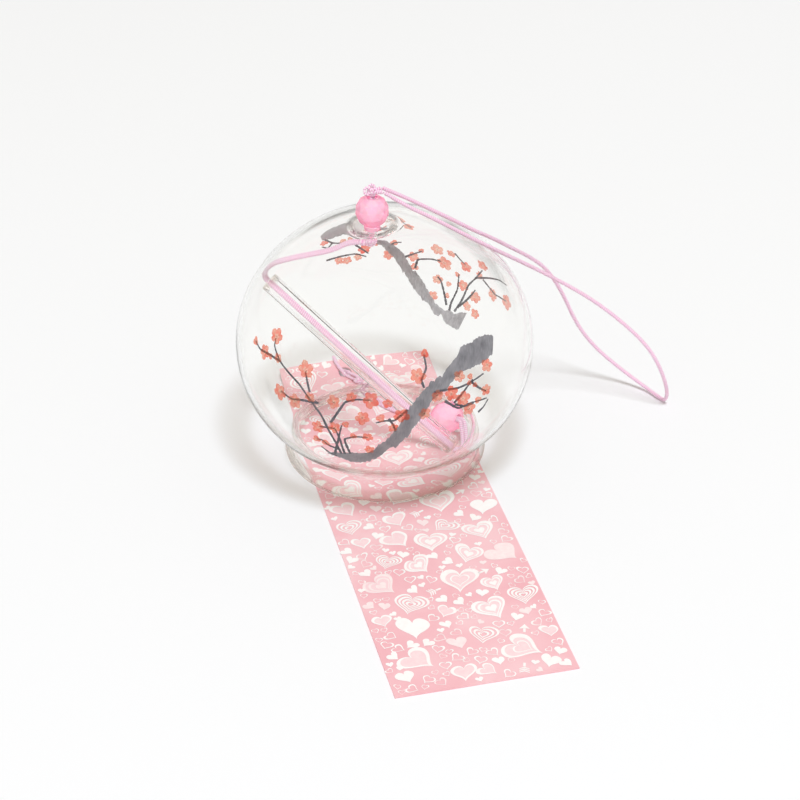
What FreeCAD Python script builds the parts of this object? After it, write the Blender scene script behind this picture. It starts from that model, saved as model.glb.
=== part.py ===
import FreeCAD, Part
import math
import os

V = FreeCAD.Vector
UP = V(0, 0, 1)

# Furin wind bell standing on its paper strip. Lengths in millimetres, angles in degrees.
# The strip's underside is z = 0, the globe's axis is over x = y = 0, and the viewer is at -y.

# Blown globe, in its own upright frame with z = 0 at the rim's underside
globe_radius = 40.0
globe_height = 71.2
globe_middle_height = 34.3
flank_radius = 32.6
glass_wall = 1.3
neck_radius = 25.2
neck_fillet_radius = 2.2
lip_top_radius = 27.3
lip_top_height = 1.7
lip_outer_radius = 27.65
lip_outer_height = 0.8
foot_outer_radius = 26.9
foot_inner_radius = 25.9
lip_inner_radius = 25.2
lip_inner_height = 1.1
lip_curve_radius = 25.42
lip_curve_height = 0.38

# Sunk seat at the top and the hole through it, left of the globe's axis
seat_offset_x = -3.1
seat_rim_radius = 5.75
seat_depth = 2.7
hole_radius = 1.6

# The rim's back stands on the doubled cord, so the globe leans about its front
rim_rest_radius = 26.4
cord_lift = 1.2

# Cord
cord_diameter = 1.1
strand_spacing = 1.18
bend_share = 0.45
running_gap = 0.1
rest_gap = 0.1

# Beads and ring
top_bead_radius = 4.5
clapper_bead_radius = 5.0
bead_hole_radius = 1.35
facets_around = 12
facet_latitudes = (-65.0, -40.0, -13.5, 13.5, 40.0, 65.0)
ring_outer_radius = 2.15
ring_height = 1.3
ring_edge_radius = 0.4
ring_seat_rise = 0.32

# Knots
top_knot_radius = 1.4
knot_loop_radius = 0.75
knot_loop_thickness = 0.8
knot_loop_places = ((-1.25, -0.75, 0.5), (0.0, -0.6, 1.5))
knot_loop_facing = (0.15, -0.8, 0.55)
stop_knot_radius = 1.8
stop_knot_offset_x = -0.5
stop_lobe_radius = 1.25
stop_lobe_offset = (-2.0, 0.0, -0.5)
strip_knot_radius = 1.5
strip_knot_height = 2.0

# Clapper tube
tube_outer_radius = 2.6
tube_bore_radius = 1.7
tube_length = 69.5
tube_end_round = 0.3
tube_foot_x = 19.0
tube_foot_y = -4.8
tube_heading = 166.7
tube_rise = 42.3
foot_cord_run = 2.0
head_cord_run = 1.6

# Clapper bead, behind the tube's foot
clapper_bead_x = 17.5
clapper_bead_y = 6.0
clapper_bead_gap = 0.15
clapper_bead_heading = -40.3
clapper_bead_rise = 15.7
bead_exit_length = 5.3

# Paper strip: flat, with its back end curled up
strip_width = 46.0
strip_thickness = 0.4
strip_flat_length = 132.5
strip_curl_radius = 45.0
strip_curl_length = 15.0
strip_turn = 13.86
strip_curl_start_x = -6.5
strip_curl_start_y = 27.8
strip_hole_radius = 2.0
strip_hole_across = -3.4
strip_hole_back = 9.6
strip_knot_x = -8.0
strip_knot_y = 30.5

# Cord routes, as places the cord's centre turns near.
# Doubled stretches also give the heading that sets their two strands side by side.
upper_route = [
    (-8.6, 0.0, 65.2),
    (-13.5, 1.0, 62.0),
    (-19.7, 3.0, 59.6),
    (-25.8, 4.0, 57.6),
    (-29.6, 5.2, 55.6),
    (-31.8, 6.3, 52.9),
]
foot_route = [
    (21.45, -5.0, 1.1, 98.0),
    (22.4, -3.5, 2.3, 140.0),
    (22.3, -0.9, 4.7, 180.0),
    (22.0, 1.2, 6.6, 205.0),
]
strip_route = [
    (11.0, 11.6, 2.6, 232.0),
    (6.0, 15.0, 1.15, 235.0),
    (1.0, 18.5, 1.02, 230.0),
    (-4.3, 23.6, 1.02, 218.0),
    (-6.5, 27.7, 1.04, 208.0),
]
strip_loop_route = [
    (-1.75, 3.7, 1.5),
    (-2.6, 5.6, 1.5),
    (-4.6, 9.0, 2.2),
    (-5.6, 13.0, 3.4),
    (-5.8, 15.8, 3.7),
    (-5.2, 16.4, 2.0),
    (-4.9, 14.2, 0.95),
    (-4.3, 12.3, 0.75),
    (-3.6, 11.0, 0.85),
    (-3.2, 9.8, 1.35),
    (-2.7, 8.2, 2.3),
    (-1.4, 6.2, 2.3),
    (-0.6, 4.8, 1.9),
    (-0.35, 4.0, 1.6),
]
loop_route = [
    (-0.5, -1.2, 81.75),
    (5.2, -0.2, 78.6),
    (11.4, 0.8, 74.8),
    (17.7, 2.4, 70.6),
    (23.4, 4.5, 66.3),
    (29.0, 9.6, 61.0),
    (34.5, 16.4, 54.3),
    (40.5, 24.0, 47.0),
    (45.4, 28.0, 40.9),
    (50.2, 31.0, 31.5),
    (54.4, 33.0, 20.7),
    (60.3, 33.8, 12.0),
    (68.4, 32.6, 5.1),
    (75.0, 29.5, 1.3),
    (78.3, 25.0, 0.9),
    (80.2, 23.0, 0.62),
    (80.4, 20.3, 5.4),
    (78.0, 18.5, 13.6),
    (73.6, 18.8, 21.7),
    (65.4, 20.0, 29.5),
    (56.8, 20.6, 36.2),
    (48.2, 19.6, 42.1),
    (39.6, 14.0, 50.0),
    (31.5, 4.6, 59.2),
    (24.5, -1.1, 66.0),
    (17.7, -2.0, 70.4),
    (11.4, -2.4, 74.2),
    (5.2, -2.8, 77.6),
    (0.0, -3.0, 81.35),
]
loop_route_top = 80.939


def polar(radius, heading, height=0):
    """Return the place at a radius and heading round the upright axis."""
    turn = math.radians(heading)
    return V(radius * math.cos(turn), radius * math.sin(turn), height)


def ray(heading, rise):
    """Return the unit vector with a heading and a rise above the level."""
    return polar(math.cos(math.radians(rise)), heading, math.sin(math.radians(rise)))


def arc(start, middle, end):
    """Return an arc edge through three places given as radius and height."""
    places = [V(radius, 0, height) for radius, height in (start, middle, end)]
    return Part.Arc(*places).toShape()


def line(start, end):
    """Return a line edge between two places given as radius and height."""
    return Part.makeLine(V(start[0], 0, start[1]), V(end[0], 0, end[1]))


def round_arc(centre, radius, start_deg, end_deg):
    """Return an arc edge round a centre, and its two ends."""
    def place(angle):
        turn = math.radians(angle)
        return (centre[0] + radius * math.cos(turn), centre[1] + radius * math.sin(turn))
    ends = (place(start_deg), place(end_deg))
    return arc(ends[0], place((start_deg + end_deg) / 2), ends[1]), ends


def lathe(edges):
    """Return the solid that a closed section makes round the z axis."""
    return Part.Face(Part.Wire(edges)).revolve(V(0, 0, 0), UP, 360)


lean_deg = math.degrees(math.asin(cord_lift / (2 * rim_rest_radius)))
lean_lift = strip_thickness + rest_gap


def lean(shape):
    """Stand a shape made in the globe's upright frame on the strip and the cord."""
    shape.rotate(V(0, -rim_rest_radius, 0), V(1, 0, 0), lean_deg)
    shape.translate(V(0, 0, lean_lift))
    return shape


def lean_place(place):
    """Return where a place in the globe's upright frame goes."""
    return lean(Part.Vertex(place)).Point


def bend_path(places, name):
    """Return a wire of straight runs joined by tangent arcs, and its length."""
    edges = []
    radii = []
    begin = places[0]
    for before, corner, after in zip(places, places[1:], places[2:]):
        back = before - corner
        ahead = after - corner
        shorter = min(back.Length, ahead.Length)
        back.normalize()
        ahead.normalize()
        half_turn = (math.pi - back.getAngle(ahead)) / 2
        reach = bend_share * shorter
        radius = reach / math.tan(half_turn)
        radii.append(radius)
        inward = back + ahead
        inward.normalize()
        arc_start = corner + back * reach
        arc_end = corner + ahead * reach
        arc_middle = corner + inward * (radius / math.cos(half_turn) - radius)
        edges.append(Part.LineSegment(begin, arc_start).toShape())
        edges.append(Part.Arc(arc_start, arc_middle, arc_end).toShape())
        begin = arc_end
    edges.append(Part.LineSegment(begin, places[-1]).toShape())
    if radii:
        print(name, "bend radii", [round(radius, 1) for radius in radii])
    return Part.Wire(edges)


def cord(places, name):
    """Return a round cord swept along a bent path."""
    path = bend_path(places, name)
    ring = Part.makeCircle(cord_diameter / 2, places[0], places[1] - places[0])
    solid = path.makePipeShell([Part.Wire([ring])], True, False)
    section = math.pi * cord_diameter ** 2 / 4
    print(name, "length", round(path.Length, 1), "volume share", round(solid.Volume / section / path.Length, 4))
    return solid


def doubled(rows, name):
    """Return two strands side by side; each row is a place and its side's heading."""
    strands = []
    for hand in (-1, 1):
        places = [place + polar(hand * strand_spacing / 2, heading) for place, heading in rows]
        strands.append(cord(places, name))
    return strands


def faceted_bead(radius):
    """Return a ball of staggered triangular facets with a hole along z."""
    rings = []
    for count, latitude in enumerate(facet_latitudes):
        height = radius * math.sin(math.radians(latitude))
        reach = radius * math.cos(math.radians(latitude))
        step = 360 / facets_around
        shift = step / 2 * (count % 2)
        rings.append([polar(reach, step * index + shift, height) for index in range(facets_around)])
    faces = []
    for count in range(len(rings) - 1):
        low, high = rings[count], rings[count + 1]
        ahead = count % 2
        for index in range(facets_around):
            after = (index + 1) % facets_around
            upper = high[(index + ahead) % facets_around]
            faces.append((low[index], low[after], upper))
            lower = low[(index + 1 - ahead) % facets_around]
            faces.append((high[index], lower, high[after]))
    skins = [Part.Face(Part.makePolygon([a, b, c, a])) for a, b, c in faces]
    for cap in (rings[0], rings[-1]):
        skins.append(Part.Face(Part.makePolygon(cap + cap[:1])))
    ball = Part.Solid(Part.Shell(skins))
    if ball.Volume < 0:
        ball.reverse()
    bore = Part.makeCylinder(bead_hole_radius, 2 * radius, V(0, 0, -radius))
    return ball.cut(bore)


def ellipsoid(radius, height):
    """Return a ball flattened to a height."""
    squash = FreeCAD.Matrix()
    squash.scale(1, 1, height / (2 * radius))
    return Part.makeSphere(radius).transformGeometry(squash)


def moved(shape, place):
    """Return the shape moved by a place."""
    shape.translate(place)
    return shape


def make_glass():
    """Return the globe with its neck, lip, sunk seat and hole."""
    middle_offset = globe_radius - flank_radius
    crown_rise = globe_height - globe_middle_height
    crown_radius = (middle_offset ** 2 + crown_rise ** 2 - flank_radius ** 2)
    crown_radius /= 2 * (crown_rise - flank_radius)
    crown_centre = (0, globe_height - crown_radius)
    flank_centre = (middle_offset, globe_middle_height)
    join_deg = math.degrees(math.atan2(flank_centre[1] - crown_centre[1], middle_offset))
    fillet_x = neck_radius + neck_fillet_radius
    reach = flank_radius + neck_fillet_radius
    neck_height = globe_middle_height - math.sqrt(reach ** 2 - (fillet_x - middle_offset) ** 2)
    fillet_centre = (fillet_x, neck_height)
    fillet_deg = math.degrees(math.atan2(neck_height - globe_middle_height, fillet_x - middle_offset))

    def collar_centre(narrow, wide, height):
        fall = neck_height - height
        out = wide - narrow
        return (narrow + (out ** 2 + fall ** 2) / (2 * out), neck_height)

    solids = []
    for inset in (0, glass_wall):
        crown, crown_ends = round_arc(crown_centre, crown_radius - inset, 90, join_deg)
        flank, flank_ends = round_arc(flank_centre, flank_radius - inset, join_deg, fillet_deg)
        curve, curve_ends = round_arc(fillet_centre, neck_fillet_radius + inset, 180 + fillet_deg, 180)
        curve_end = curve_ends[1]
        lip = (lip_inner_radius, lip_inner_height) if inset else (lip_top_radius, lip_top_height)
        centre = collar_centre(curve_end[0], lip[0], lip[1])
        collar_radius = centre[0] - curve_end[0]
        angle = 180 + math.degrees(math.atan2(centre[1] - lip[1], centre[0] - lip[0]))
        collar, collar_ends = round_arc(centre, collar_radius, 180, angle)
        foot = (foot_inner_radius if inset else foot_outer_radius, 0)
        lip_middle = (lip_curve_radius, lip_curve_height) if inset else (lip_outer_radius, lip_outer_height)
        roll = arc(collar_ends[1], lip_middle, foot)
        top = (0, crown_ends[0][1])
        crown = arc(top, round_arc(crown_centre, crown_radius - inset, 90, (90 + join_deg) / 2)[1][1],
                    crown_ends[1])
        edges = [crown, flank, curve, collar, roll, line(foot, (0, 0)), line((0, 0), top)]
        solids.append(lathe(edges))
    outer, inner = solids
    seat_radius = (seat_rim_radius ** 2 + seat_depth ** 2) / (2 * seat_depth)
    seat_centre = V(seat_offset_x, 0, seat_floor_height() + seat_radius)
    outer = outer.cut(Part.makeSphere(seat_radius, seat_centre))
    inner = inner.cut(Part.makeSphere(seat_radius + glass_wall, seat_centre))
    hole = Part.makeCylinder(hole_radius, globe_height, V(seat_offset_x, 0, globe_middle_height))
    return outer.cut(inner).cut(hole)


def seat_floor_height():
    """Return the height of the sunk seat's lowest place."""
    middle_offset = globe_radius - flank_radius
    crown_rise = globe_height - globe_middle_height
    crown_radius = (middle_offset ** 2 + crown_rise ** 2 - flank_radius ** 2)
    crown_radius /= 2 * (crown_rise - flank_radius)
    surface = globe_height - crown_radius + math.sqrt(crown_radius ** 2 - seat_offset_x ** 2)
    return surface - seat_depth


# Heights up the hole's axis, in the globe's upright frame
seat_floor = seat_floor_height()
ring_bottom = seat_floor + ring_seat_rise + rest_gap
bead_flat = top_bead_radius * math.sin(math.radians(facet_latitudes[-1]))
top_bead_height = ring_bottom + ring_height + running_gap + bead_flat
top_knot_height = top_bead_height + bead_flat + running_gap + top_knot_radius
stop_knot_height = seat_floor - glass_wall - rest_gap - stop_knot_radius
top_knot_place = lean_place(V(seat_offset_x, 0, top_knot_height))
stop_knot_place = V(seat_offset_x + stop_knot_offset_x, 0, stop_knot_height)
stop_lobe_place = stop_knot_place + V(*stop_lobe_offset)

# The long loop's places, their heights following the top knot that they were laid for
loop_stretch = top_knot_place.z / loop_route_top
loop_places = [V(x, y, z * loop_stretch) for x, y, z in loop_route]

# Clapper line
tube_side = tube_heading - 90
tube_axis = ray(tube_heading, tube_rise)
tube_foot_height = strip_thickness + rest_gap + tube_outer_radius * math.cos(math.radians(tube_rise))
tube_foot = V(tube_foot_x, tube_foot_y, tube_foot_height)
tube_head = tube_foot + tube_axis * tube_length
clapper_bead_height = strip_thickness + clapper_bead_gap + clapper_bead_radius
clapper_bead_place = V(clapper_bead_x, clapper_bead_y, clapper_bead_height)
clapper_hole_axis = ray(clapper_bead_heading, clapper_bead_rise)
bead_entry = clapper_bead_place + clapper_hole_axis * bead_exit_length
bead_exit = clapper_bead_place - clapper_hole_axis * bead_exit_length
bead_side = clapper_bead_heading - 90 + 360

# Strip frame: across to the right, back away from the viewer
strip_across = polar(1, strip_turn)
strip_back = polar(1, strip_turn + 90)
strip_origin = V(strip_curl_start_x, strip_curl_start_y, 0)
strip_knot_place = V(strip_knot_x, strip_knot_y, 0)
knot_back = (strip_knot_place - strip_origin).dot(strip_back)
knot_floor = strip_thickness + knot_back ** 2 / (2 * strip_curl_radius)
strip_knot_place.z = knot_floor + running_gap + strip_knot_height / 2


def strip_place(across, back, height):
    """Return the place of a point given in the strip's frame."""
    return strip_origin + strip_across * across + strip_back * back + UP * height


def make_ring():
    """Return the ring bead with its rounded edges."""
    ring = Part.makeCylinder(ring_outer_radius, ring_height)
    ring = ring.cut(Part.makeCylinder(bead_hole_radius, ring_height))
    rims = [edge for edge in ring.Edges if edge.Closed and edge.Curve.Radius > bead_hole_radius]
    ring = ring.makeFillet(ring_edge_radius, rims)
    return lean(moved(ring, V(seat_offset_x, 0, ring_bottom)))


def make_top_knot():
    """Return the top knot with its two small open loops and the stubs of the long loop."""
    knot = Part.makeSphere(top_knot_radius, top_knot_place)
    for end in (loop_places[0], loop_places[-1]):
        run = end - top_knot_place
        length = run.Length - cord_diameter / 2 - running_gap
        knot = knot.fuse(Part.makeCylinder(cord_diameter / 2, length, top_knot_place, run))
    for place in knot_loop_places:
        centre = top_knot_place + V(*place)
        loop = Part.makeTorus(knot_loop_radius, knot_loop_thickness / 2, centre, V(*knot_loop_facing))
        knot = knot.fuse(loop)
    return knot


def make_hanging_loop():
    """Return the long loop, round ended where it lifts at the knot's stubs."""
    loop = cord(loop_places, "hanging_loop")
    for end in (loop_places[0], loop_places[-1]):
        loop = loop.fuse(Part.makeSphere(cord_diameter / 2, end))
    return loop


def make_stop_knot():
    """Return the stop knot under the hole, with the lobe its tails leave by."""
    lobe = Part.makeSphere(stop_lobe_radius, stop_lobe_place)
    return lean(Part.makeSphere(stop_knot_radius, stop_knot_place).fuse(lobe))


def make_bead_cord(stop_knot):
    """Return the two straight strands between the stop knot and the top knot."""
    low = lean_place(V(seat_offset_x, 0, stop_knot_height))
    clear = Part.makeSphere(top_knot_radius + running_gap, top_knot_place)
    strands = doubled([(low, tube_side), (top_knot_place, tube_side)], "bead_cord")
    return Part.Compound([strand.cut(clear).cut(stop_knot) for strand in strands])


def make_upper_cord(stop_knot):
    """Return the two strands from the stop knot to the tube's head."""
    start = lean_place(stop_lobe_place)
    ends = [tube_head + tube_axis * head_cord_run, tube_head + tube_axis * running_gap]
    places = [start] + [V(*row) for row in upper_route] + ends
    strands = doubled([(place, tube_side) for place in places], "upper_cord")
    return Part.Compound([strand.cut(stop_knot) for strand in strands])


def make_tube():
    """Return the clapper tube with its ends fire rounded."""
    tube = Part.makeCylinder(tube_outer_radius, tube_length, tube_foot, tube_axis)
    tube = tube.cut(Part.makeCylinder(tube_bore_radius, tube_length, tube_foot, tube_axis))
    rims = [edge for edge in tube.Edges if edge.Closed]
    return tube.makeFillet(tube_end_round, rims)


def make_tube_cord():
    """Return the two strands inside the tube, round ended at its foot, where it tips up."""
    strands = doubled([(tube_foot, tube_side), (tube_head, tube_side)], "tube_cord")
    side = polar(strand_spacing / 2, tube_side)
    ends = [Part.makeSphere(cord_diameter / 2, tube_foot + side * hand) for hand in (-1, 1)]
    return Part.Compound([strand.fuse(end) for strand, end in zip(strands, ends)])


def make_foot_cord():
    """Return the two strands from the tube's foot through the clapper bead."""
    start = tube_foot - tube_axis * (cord_diameter / 2 + running_gap)
    rows = [(start, tube_side), (tube_foot - tube_axis * foot_cord_run, tube_side)]
    rows += [(V(*row[:3]), row[3]) for row in foot_route]
    rows += [(bead_entry, bead_side), (bead_exit, bead_side)]
    return Part.Compound(doubled(rows, "foot_cord"))


def make_clapper_bead():
    """Return the clapper bead turned to its hole's direction."""
    bead = faceted_bead(clapper_bead_radius)
    bead.Placement = FreeCAD.Placement(clapper_bead_place, FreeCAD.Rotation(UP, clapper_hole_axis))
    return bead


def make_strip_cord():
    """Return the two strands from the clapper bead under the rim to the strip's knot."""
    rows = [(bead_exit - clapper_hole_axis * running_gap, bead_side)]
    rows += [(V(*row[:3]), row[3]) for row in strip_route]
    rows.append((strip_knot_place, strip_route[-1][3]))
    clear = ellipsoid(strip_knot_radius + running_gap, strip_knot_height + 2 * running_gap)
    clear = moved(clear, strip_knot_place)
    return Part.Compound([strand.cut(clear) for strand in doubled(rows, "strip_cord")])


def make_strip_loop(strip_knot):
    """Return the loop through the strip's hole and round its end."""
    places = [strip_place(*row) for row in strip_loop_route]
    return cord(places, "strip_loop").cut(strip_knot)


def make_strip():
    """Return the paper strip with its curled back end and punched hole."""
    sweep = strip_curl_length / strip_curl_radius

    def curl(radius, turn):
        return V(0, radius * math.sin(turn), strip_curl_radius - radius * math.cos(turn))

    inner = strip_curl_radius - strip_thickness
    outer = strip_curl_radius
    low_front = V(0, -strip_flat_length, 0)
    high_front = V(0, -strip_flat_length, strip_thickness)
    edges = [
        Part.makeLine(low_front, curl(outer, 0)),
        Part.Arc(curl(outer, 0), curl(outer, sweep / 2), curl(outer, sweep)).toShape(),
        Part.makeLine(curl(outer, sweep), curl(inner, sweep)),
        Part.Arc(curl(inner, sweep), curl(inner, sweep / 2), curl(inner, 0)).toShape(),
        Part.makeLine(curl(inner, 0), high_front),
        Part.makeLine(high_front, low_front),
    ]
    sheet = Part.Face(Part.Wire(edges)).extrude(V(strip_width, 0, 0))
    sheet.translate(V(-strip_width / 2, 0, 0))
    turn = math.asin(strip_hole_back / strip_curl_radius)
    inward = V(0, -math.sin(turn), math.cos(turn))
    centre = curl(strip_curl_radius, turn) + V(strip_hole_across, 0, 0)
    reach = strip_hole_radius
    punch = Part.makeCylinder(strip_hole_radius, 2 * reach, centre - inward * reach, inward)
    sheet = sheet.cut(punch)
    sheet.rotate(V(0, 0, 0), UP, strip_turn)
    sheet.translate(strip_origin)
    return sheet


top_knot = make_top_knot()
stop_knot = make_stop_knot()
strip_knot = moved(ellipsoid(strip_knot_radius, strip_knot_height), strip_knot_place)
nodes = {
    "glass_globe": lean(make_glass()),
    "seat_ring": make_ring(),
    "top_bead": lean(moved(faceted_bead(top_bead_radius), V(seat_offset_x, 0, top_bead_height))),
    "bead_cord": make_bead_cord(stop_knot),
    "top_knot": top_knot,
    "hanging_loop": make_hanging_loop(),
    "stop_knot": stop_knot,
    "upper_cord": make_upper_cord(stop_knot),
    "tube_cord": make_tube_cord(),
    "glass_tube": make_tube(),
    "foot_cord": make_foot_cord(),
    "clapper_bead": make_clapper_bead(),
    "strip_cord": make_strip_cord(),
    "strip_knot": strip_knot,
    "strip_loop": make_strip_loop(strip_knot),
    "paper_strip": make_strip(),
}

os.makedirs("parts", exist_ok=True)
for name, shape in nodes.items():
    shape.exportStep("parts/" + name + ".step")
    box = shape.optimalBoundingBox(False)
    print(name, "solids", len(shape.Solids), "valid", shape.isValid(), "volume", round(shape.Volume, 2),
          "x", round(box.XMin, 2), round(box.XMax, 2), "y", round(box.YMin, 2), round(box.YMax, 2),
          "z", round(box.ZMin, 2), round(box.ZMax, 2))
print("lean", round(lean_deg, 4), "top knot", top_knot_place, "tube head", tube_head, "foot", tube_foot)
print("bead", clapper_bead_place, "hole axis", clapper_hole_axis, "strip knot", strip_knot_place)
print("heights: floor", seat_floor, "ring", ring_bottom, "bead", top_bead_height, "knot", top_knot_height)
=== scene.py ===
"""Looks of a furin wind bell: blown glass, painted plum branches, satin cord, beads and card.

Places are millimetres in the part's own frame until make_piece turns them into metres.
"""

from __future__ import annotations

import logging
import math
from dataclasses import dataclass, field
from enum import Enum
from typing import Any, Iterable, Sequence

import bpy
import numpy as np
from mathutils.geometry import delaunay_2d_cdt
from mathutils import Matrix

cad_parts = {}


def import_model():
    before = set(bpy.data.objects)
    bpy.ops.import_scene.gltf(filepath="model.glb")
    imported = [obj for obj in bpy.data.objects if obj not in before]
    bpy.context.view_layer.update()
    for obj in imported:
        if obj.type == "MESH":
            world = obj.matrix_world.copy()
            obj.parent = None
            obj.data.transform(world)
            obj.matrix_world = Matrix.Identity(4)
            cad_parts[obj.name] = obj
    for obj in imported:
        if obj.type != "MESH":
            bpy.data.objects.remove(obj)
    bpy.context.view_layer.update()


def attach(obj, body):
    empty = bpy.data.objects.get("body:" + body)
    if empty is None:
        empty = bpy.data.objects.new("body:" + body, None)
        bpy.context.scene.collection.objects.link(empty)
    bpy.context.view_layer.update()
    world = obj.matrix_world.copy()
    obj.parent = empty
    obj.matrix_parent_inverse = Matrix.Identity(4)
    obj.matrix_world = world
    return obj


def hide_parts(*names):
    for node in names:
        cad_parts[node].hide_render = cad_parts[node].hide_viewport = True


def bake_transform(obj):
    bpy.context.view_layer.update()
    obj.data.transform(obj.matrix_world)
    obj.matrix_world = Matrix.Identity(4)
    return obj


LOG = logging.getLogger("furin")
MM = 0.001
ROUTE_STEPS = 32
# A direction that no cord starts in, to set its first side by
FIRST_SIDE = (0.3, 0.2, 0.9)
# The same for the turns of the knots
KNOT_SIDE = (0.31, 0.57, 0.76)
Place = Sequence[float]
Grid = np.ndarray
Tree = bpy.types.NodeTree
Socket = bpy.types.NodeSocket
Faces = list[tuple[int, ...]]
Strand = tuple[Grid, Faces, Grid]
Shape = tuple[Grid, Faces]


class Body(str, Enum):
    """The moving bodies that pieces ride on."""

    BELL = "bell"
    LOOP_KNOT = "loop_knot"
    LOOP = "loop"
    LINE = "clapper_line"
    TUBE = "clapper_tube"
    STRIP = "strip"


class Slot(str, Enum):
    """Material slot names, which this script gives to no piece."""

    BELL_GLASS = "bell_glass"
    TUBE_GLASS = "tube_glass"
    CORD = "pink_cord"
    PAPER = "strip_paper"


class HeartKind(Enum):
    """The ways in which a heart is drawn on the card."""

    OUTLINE = "outline"
    DOUBLE = "double"
    NESTED = "nested"
    SOLID = "solid"
    SPIRAL = "spiral"
    ARROW = "arrow"


# Colour and node helpers


def linear(code: str) -> tuple[float, float, float, float]:
    """Turn an sRGB hex code into linear light.

    Args:
        code: six hex digits.

    Returns:
        The colour with an alpha of one.
    """
    parts = [int(code[start:start + 2], 16) / 255 for start in (0, 2, 4)]
    red, green, blue = (part / 12.92 if part <= 0.04045 else ((part + 0.055) / 1.055) ** 2.4
                        for part in parts)
    return red, green, blue, 1.0


def per_metre(size: float) -> float:
    """Return the noise scale whose marks are a size in millimetres: one over the size in metres."""
    return 1 / (size * MM)


def put(tree: Tree, kind: str, inputs: dict[Any, Any] | None = None,
        stops: Sequence[tuple[float, str]] = (), **settings: Any) -> bpy.types.Node:
    """Add a node with its settings, values and links.

    Args:
        tree: the node tree.
        kind: the node's type without the ShaderNode prefix.
        inputs: values or sockets by input name or number.
        stops: a colour ramp's places from zero to one, with their hex codes.
        settings: attributes set on the node itself.

    Returns:
        The new node.
    """
    node = tree.nodes.new("ShaderNode" + kind)
    for name, value in settings.items():
        setattr(node, name, value)
    for number, (place, code) in enumerate(stops):
        bar = node.color_ramp.elements
        if number == len(bar):
            bar.new(place)
        bar[number].position = place
        bar[number].color = linear(code)
    for key, value in (inputs or {}).items():
        if isinstance(value, Socket):
            tree.links.new(value, node.inputs[key])
        else:
            node.inputs[key].default_value = value
    return node


def pass_light(tree: Tree, surface: Socket, clear: Socket) -> None:
    """Finish a clear material: light on its way to other pieces meets only its clear tint.

    Args:
        tree: the material's tree.
        surface: what the camera and mirrored rays see.
        clear: what shadow rays and diffuse rays see.
    """
    rays = put(tree, "LightPath")
    light = put(tree, "Math", {0: rays.outputs["Is Shadow Ray"], 1: rays.outputs["Is Diffuse Ray"]},
                operation="MAXIMUM")
    both = put(tree, "MixShader", {0: light.outputs[0], 1: surface, 2: clear})
    put(tree, "OutputMaterial", {"Surface": both.outputs[0]})


def blank(name: str) -> tuple[bpy.types.Material, Tree]:
    """Make a material with an empty node tree.

    Args:
        name: the material's name.

    Returns:
        The material and its tree.
    """
    material = bpy.data.materials.new(name)
    material.use_nodes = True
    material.node_tree.nodes.clear()
    return material, material.node_tree


# Mesh helpers


def polar(radius: float, heading: float, height: float = 0.0) -> Grid:
    """Return the place at a radius and heading round the upright axis."""
    turn = math.radians(heading)
    return np.array([radius * math.cos(turn), radius * math.sin(turn), height])


def unit(vector: Place) -> Grid:
    """Return a vector cut to length one."""
    array = np.asarray(vector, float)
    return array / np.linalg.norm(array)


def make_piece(name: str, places: Grid, faces: Faces, material: bpy.types.Material,
               body: Body | None, smooth: bool = True,
               tones: dict[str, Grid] | None = None) -> bpy.types.Object:
    """Make a mesh object from places in millimetres and let it ride on a body.

    Args:
        name: the piece's name.
        places: one row for each vertex, in millimetres.
        faces: vertex numbers for each face.
        material: the finish.
        body: the body that carries the piece, or none where it is blended between two.
        smooth: whether the faces are shaded smooth.
        tones: float attributes by name, one value for each vertex.

    Returns:
        The new object.
    """
    mesh = bpy.data.meshes.new(name)
    mesh.from_pydata((np.asarray(places) * MM).tolist(), [], [list(face) for face in faces])
    mesh.polygons.foreach_set("use_smooth", np.full(len(mesh.polygons), smooth))
    for tone, values in (tones or {}).items():
        layer = mesh.attributes.new(tone, "FLOAT", "POINT")
        layer.data.foreach_set("value", np.asarray(values, np.float32))
    mesh.materials.append(material)
    mesh.validate()
    piece = bpy.data.objects.new(name, mesh)
    bpy.context.scene.collection.objects.link(piece)
    if body:
        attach(piece, body.value)
    LOG.info("%s: %d faces on %s", name, len(mesh.polygons), body.value if body else "two bodies")
    return piece


def outward(places: Grid, faces: Faces) -> Faces:
    """Turn a closed mesh's faces so that they all look out.

    Each face is cut into a fan of triangles, and each triangle makes a wedge with the mesh's middle. The
    wedges' volumes add up to more than zero when the faces look out.

    Args:
        places: the vertices.
        faces: the faces, all turned one way.

    Returns:
        The faces, reversed if the mesh was inside out.
    """
    fans = np.array([(face[0], low, high) for face in faces for low, high in zip(face[1:], face[2:])])
    first, second, third = (places[fans[:, corner]] - places.mean(axis=0) for corner in range(3))
    volume = (first * np.cross(second, third)).sum()
    return faces if volume > 0 else [tuple(reversed(face)) for face in faces]


def sheet_faces(rows: int, columns: int, next_row: int = 0, next_column: int = 0) -> Faces:
    """Return the quads of a grid of vertices, each from a vertex, its next ones and the one across.

    Args:
        rows: how many rows of vertices.
        columns: vertices in each row.
        next_row: one if the last row joins the first.
        next_column: one if each row's end joins its start.

    Returns:
        The faces' vertex numbers.
    """
    row = np.arange(rows - 1 + next_row)[:, None]
    column = np.arange(columns - 1 + next_column)[None, :]
    low, high = row * columns, (row + 1) % rows * columns
    after = (column + 1) % columns
    corners = np.broadcast_arrays(low + column, low + after, high + after, high + column)
    return [tuple(face) for face in np.stack(corners, -1).reshape(-1, 4).tolist()]


def ring_faces(rings: int, around: int, loop: bool) -> Faces:
    """Return the quads between closed rings of vertices, the last ring joined to the first if they loop."""
    return sheet_faces(rings, around, int(loop), 1)


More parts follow.
